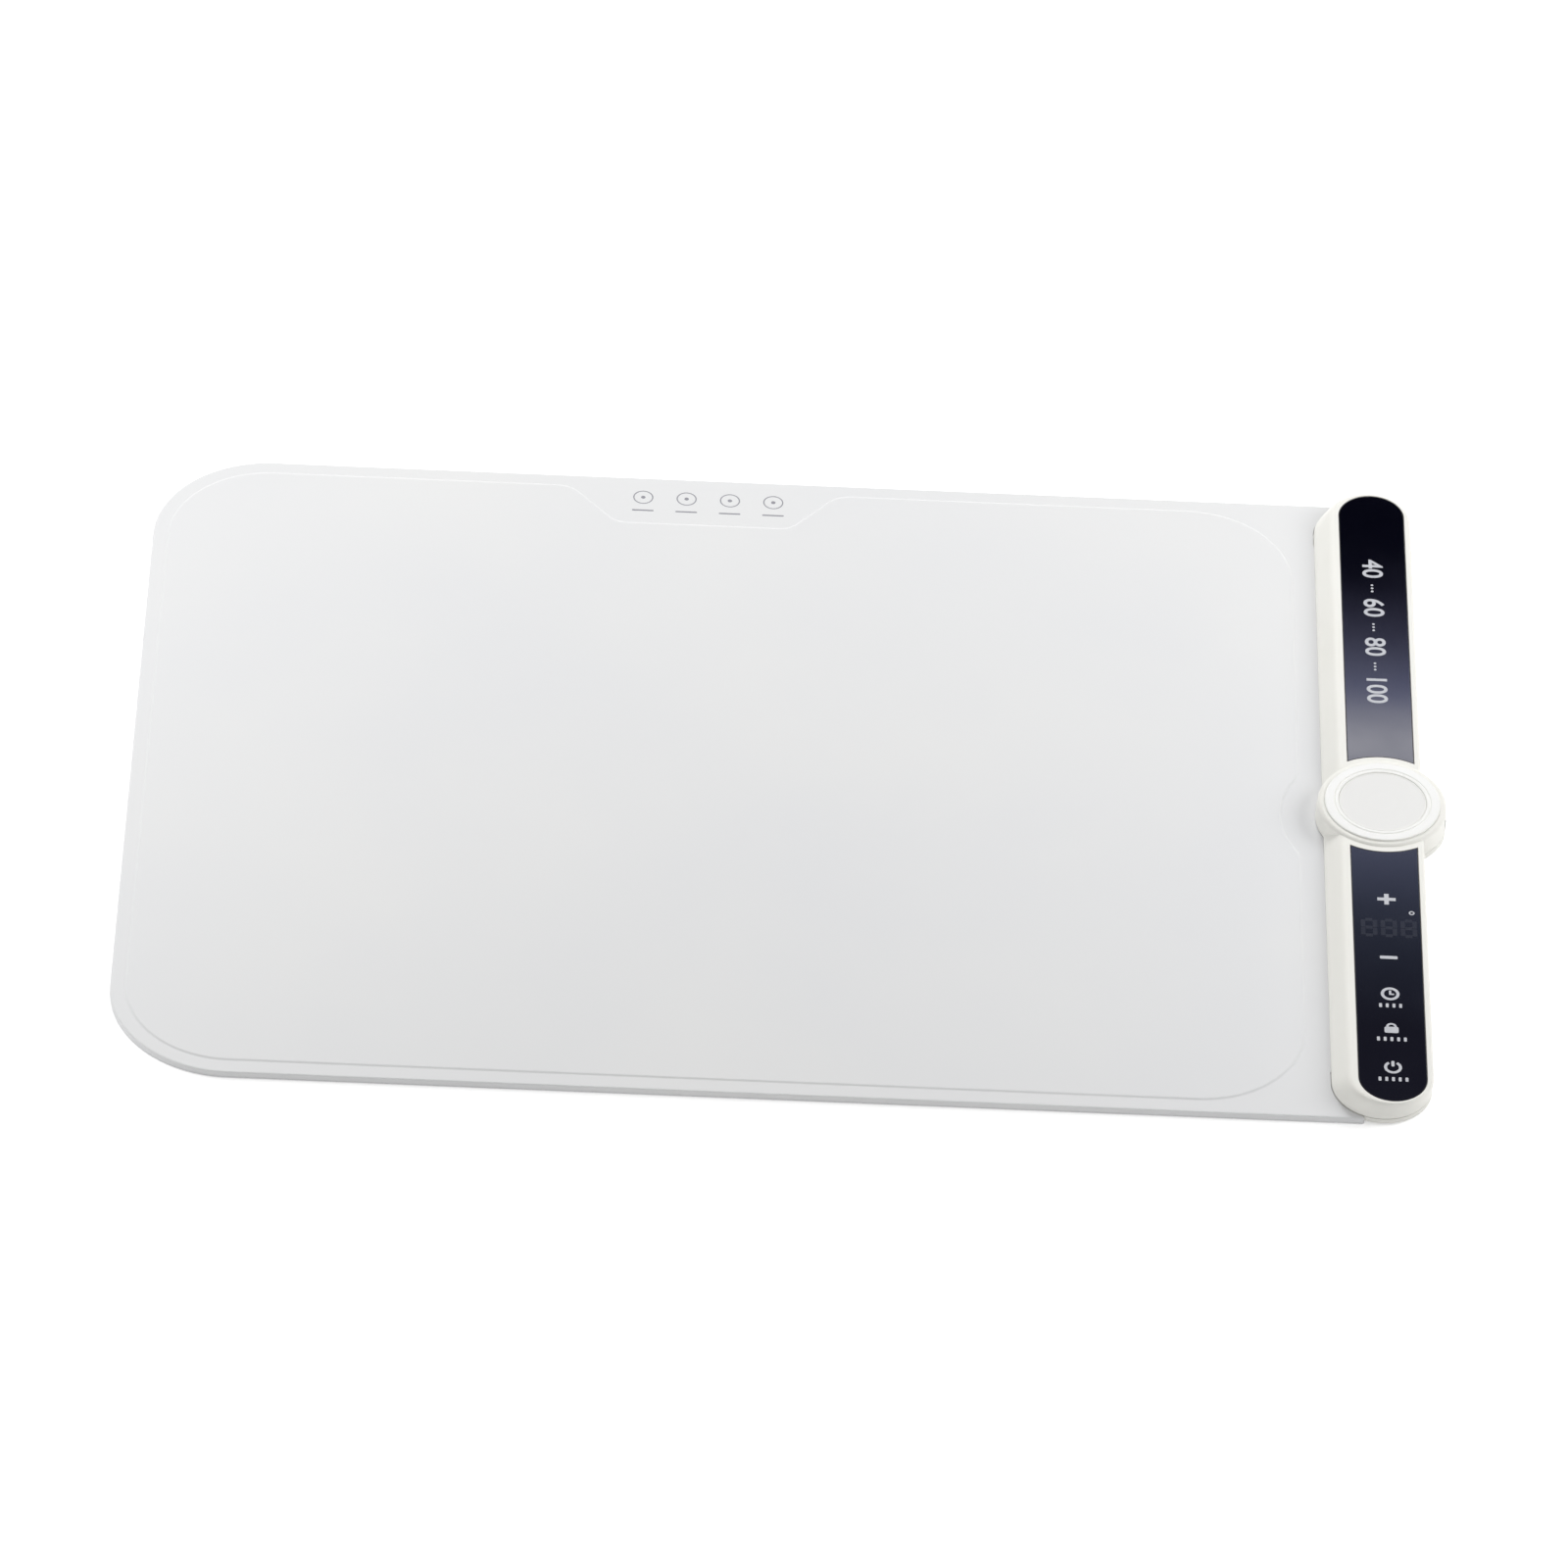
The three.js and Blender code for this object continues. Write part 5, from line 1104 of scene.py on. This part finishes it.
def front_marks():
    """The signs of the keys: plus, minus, clock, padlock and power, with strokes and one small ring."""
    bm = bmesh.new()
    across, thin, tall, wide = 3.95, 0.95, 3.4, 1.0
    cornered_mark(bm, KEY_X, PLUS_Y, [
        (-wide, -tall), (wide, -tall), (wide, -thin), (across, -thin), (across, thin), (wide, thin),
        (wide, tall), (-wide, tall), (-wide, thin), (-across, thin), (-across, -thin), (-wide, -thin),
    ])
    ring_mark(bm, SMALL_RING_X, SMALL_RING_Y, outer=1.25, inner=0.65)
    bar_mark(bm, KEY_X, MINUS_Y, width=7.6, height=1.9, radius=0.5)
    ring_mark(bm, KEY_X, CLOCK_Y, outer=4.0, inner=2.65)
    cornered_mark(bm, KEY_X, CLOCK_Y, [
        (-0.5, -0.7), (1.7, -0.7), (1.7, 0.2), (0.5, 0.2), (0.5, 2.1), (-0.5, 2.1),
    ])
    stroke_row(bm, KEY_X, CLOCK_ROW_Y, count=4)
    bar_mark(bm, KEY_X, LOCK_Y, width=6.0, height=3.8, radius=0.8)
    arc_mark(bm, KEY_X, LOCK_BOW_Y, outer=2.3, inner=1.25, start=0.0, turn=math.pi)
    stroke_row(bm, KEY_X, LOCK_ROW_Y, count=5)
    arc_mark(bm, KEY_X, POWER_Y, outer=3.8, inner=2.5, start=math.radians(122), turn=math.radians(296))
    bar_mark(bm, KEY_X, POWER_BAR_Y, width=1.35, height=3.4, radius=0.5)
    stroke_row(bm, KEY_X, POWER_ROW_Y, count=5)
    return welded(bm)


finish_piece("key_marks", front_marks(), "black_panel", ink=KEY_INK)


def unlit_digits():
    """Three dim digits of seven bars each, all unlit."""
    bm = bmesh.new()
    width, height, thick, gap_across, gap_along = 5.1, 9.8, 1.9, 0.2, 0.3
    for x in DIGITS_X:
        for y in (-1, 0, 1):
            bar_mark(bm, x, DIGITS_Y + y * height / 2, width - thick - gap_across, thick, radius=0.2)
        for side in (-1, 1):
            for half in (-1, 1):
                across, along_bar = x + side * width / 2, DIGITS_Y + half * height / 4
                bar_mark(bm, across, along_bar, thick, height / 2 - gap_along, radius=0.4)
    return welded(bm)


finish_piece("unlit_digits", unlit_digits(), "display_black", ink=GHOST_INK)


def numerals_mesh(text, size, place, turn):
    """Plain numerals as a thin mesh."""
    curve = bpy.data.curves.new("numerals", "FONT")
    curve.body, curve.size = text, size
    curve.align_x, curve.align_y = "CENTER", "CENTER"
    curve.extrude, curve.offset, curve.resolution_u = (INK_TOP - INK_LOW) / 2, 0.2, 8
    holder = bpy.data.objects.new("numerals", curve)
    scene.collection.objects.link(holder)
    bpy.context.view_layer.update()
    mesh = bpy.data.meshes.new_from_object(holder.evaluated_get(bpy.context.evaluated_depsgraph_get()))
    bpy.data.objects.remove(holder)
    mesh.transform(Matrix.Translation(place) @ Matrix.Rotation(turn, 4, "Z"))
    return mesh


def rear_marks():
    """A plain scale of numerals, with three dots between each and the next."""
    bm = bmesh.new()
    middle, size, dot_spacing, dot_radius = (INK_LOW + INK_TOP) / 2, 12.6, 2.1, 0.6
    for y, text in ((147.5, "40"), (121.0, "60"), (94.5, "80"), (66.0, "100")):
        bm.from_mesh(numerals_mesh(text, size, (SCALE_X, y, middle), -QUARTER))
    for y in (134.2, 107.7, 81.2):
        for step in (-1, 0, 1):
            pin(SCALE_X, y + step * dot_spacing, dot_radius, INK_LOW, INK_TOP, 20, bm)
    bmesh.ops.remove_doubles(bm, verts=bm.verts, dist=MERGE_LENGTH)
    return bm


finish_piece("rear_scale", rear_marks(), "black_panel", ink=KEY_INK)


def field_marks():
    """Four rings in the notch, each with a dot and a line below."""
    bm = bmesh.new()
    z = (MAT_TOP + 0.002, MAT_TOP + 0.016)
    ring_y, line_y, dot_radius = 186.4, 177.4, 1.0
    for x in (-68.0, -48.6, -29.2, -9.8):
        ring_mark(bm, x, ring_y, outer=4.5, inner=3.95, z=z)
        pin(x, ring_y, dot_radius, *z, 20, bm)
        bar_mark(bm, x, line_y, width=9.6, height=0.9, z=z)
    return welded(bm)


finish_piece("notch_marks", field_marks(), "white_silicone", ink=FIELD_INK)


# Stage: floor, world, lamps and the card that the panel mirrors

def white_for_lens(tree):
    """1 for rays that see the background: from the lens, off gloss and through glass."""
    rays = put(tree, "ShaderNodeLightPath")
    seen = maths(tree, rays.outputs["Is Camera Ray"], rays.outputs["Is Glossy Ray"], "MAXIMUM")
    return maths(tree, seen, rays.outputs["Is Transmission Ray"], "MAXIMUM")


# The stage is in metres. The floor lies a hair below the object, so that no faces share a plane
FLOOR_GAP, FLOOR_RADIUS = 0.0002, 9
CARD_PLACE, CARD_WIDTH, CARD_HEIGHT, CARD_STRENGTH = (0.31, 0.6, 0.54), 0.17, 0.6, 6.0
WORLD_FILL = 0.265
CENTRE = Vector((0, 0, 0))


def floor():
    """A white floor with a glow for the lens, gloss and glass, less near the object to keep its shadow."""
    bm = bmesh.new()
    bmesh.ops.create_circle(
        bm, cap_ends=True, segments=ROUND_STEPS, radius=FLOOR_RADIUS,
        matrix=Matrix.Translation((0, 0, -FLOOR_GAP)),
    )
    board = linked_object("floor", bm)
    material, tree = new_material("white_floor")
    shader = tree.nodes["Principled BSDF"]
    shader.inputs["Base Color"].default_value = (0.95, 0.95, 0.95, 1)
    shader.inputs["Roughness"].default_value = 0.9
    shader.inputs["Specular IOR Level"].default_value = 0.0
    shader.inputs["Emission Color"].default_value = (1, 1, 1, 1)
    place = put(tree, "ShaderNodeTexCoord").outputs["Object"]
    away = put(tree, "ShaderNodeVectorMath", {0: place}, operation="LENGTH").outputs["Value"]
    glow = put(tree, "ShaderNodeMapRange", {
        "Value": away, "From Min": 0.7, "From Max": 2.2, "To Min": 0.45, "To Max": 1.0,
    }).outputs[0]
    tree.links.new(maths(tree, white_for_lens(tree), glow, "MULTIPLY"), shader.inputs["Emission Strength"])
    board.data.materials.append(material)


def studio_world():
    """White for the lens, gloss and glass, and a low fill for the rest."""
    world = bpy.data.worlds.new("studio")
    scene.world = world
    world.use_nodes = True
    tree = world.node_tree
    level = put(tree, "ShaderNodeMapRange", {
        "Value": white_for_lens(tree), "To Min": WORLD_FILL, "To Max": 1.0,
    })
    back = tree.nodes["Background"]
    back.inputs["Color"].default_value = (1, 1, 1, 1)
    tree.links.new(level.outputs[0], back.inputs["Strength"])


def lamp(name, place, size, power):
    """A soft round lamp that faces the object's centre."""
    data = bpy.data.lights.new(name, "AREA")
    data.shape, data.size, data.energy = "DISK", size, power
    holder = bpy.data.objects.new(name, data)
    scene.collection.objects.link(holder)
    turn = (CENTRE - Vector(place)).to_track_quat("-Z", "Y").to_matrix().to_4x4()
    holder.matrix_world = Matrix.Translation(place) @ turn
    holder.visible_glossy = False


def mirror_card():
    """A narrow upright card behind the object, dark but for a bright band, that only gloss sees."""
    bm = bmesh.new()
    bmesh.ops.create_grid(bm, x_segments=1, y_segments=1, size=0.5)
    upright = Matrix(((CARD_WIDTH, 0, 0), (0, 0, 1), (0, CARD_HEIGHT, 0))).to_4x4()
    bmesh.ops.transform(bm, verts=bm.verts, matrix=Matrix.Translation(CARD_PLACE) @ upright)
    card = linked_object("mirror_card", bm)
    material, tree = new_material("mirror_card")
    tree.nodes.remove(tree.nodes["Principled BSDF"])
    place = put(tree, "ShaderNodeTexCoord").outputs["Object"]
    height = put(tree, "ShaderNodeSeparateXYZ", {"Vector": place}).outputs["Z"]
    share = put(tree, "ShaderNodeMapRange", {"Value": height, "From Min": 0.3, "From Max": 0.8}).outputs[0]
    ramp = put(tree, "ShaderNodeValToRGB", {"Fac": share})
    stops = (
        (0.2, (0, 0, 0)), (0.28, (0.07, 0.07, 0.12)), (0.36, (0.26, 0.28, 0.45)),
        (0.41, (0.9, 0.9, 1.0)), (0.44, (0.9, 0.9, 1.0)), (0.47, (0.3, 0.32, 0.44)),
        (0.54, (0.18, 0.2, 0.32)), (0.66, (0.05, 0.06, 0.09)), (0.8, (0.02, 0.02, 0.03)),
    )
    while len(ramp.color_ramp.elements) < len(stops):
        ramp.color_ramp.elements.new(0.5)
    for stop, (where, value) in zip(ramp.color_ramp.elements, stops):
        stop.position = where
        stop.color = (*value, 1)
    glow = put(tree, "ShaderNodeEmission", {"Color": ramp.outputs["Color"], "Strength": CARD_STRENGTH})
    tree.links.new(glow.outputs[0], tree.nodes["Material Output"].inputs["Surface"])
    card.data.materials.append(material)
    card.visible_camera = False
    card.visible_diffuse = False
    card.visible_shadow = False
    card.visible_transmission = False


floor()
studio_world()
lamp("far_soft", (0, 1.5, 0.95), size=0.7, power=21.5)
lamp("left_soft", (-0.9, 0.05, 0.5), size=0.6, power=4.0)
lamp("right_soft", (0.9, 0, 0.5), size=0.6, power=3.9)
lamp("near_low", (0.1, -1.5, 0.28), size=0.5, power=3.0)
mirror_card()

scene.view_settings.view_transform = "Standard"
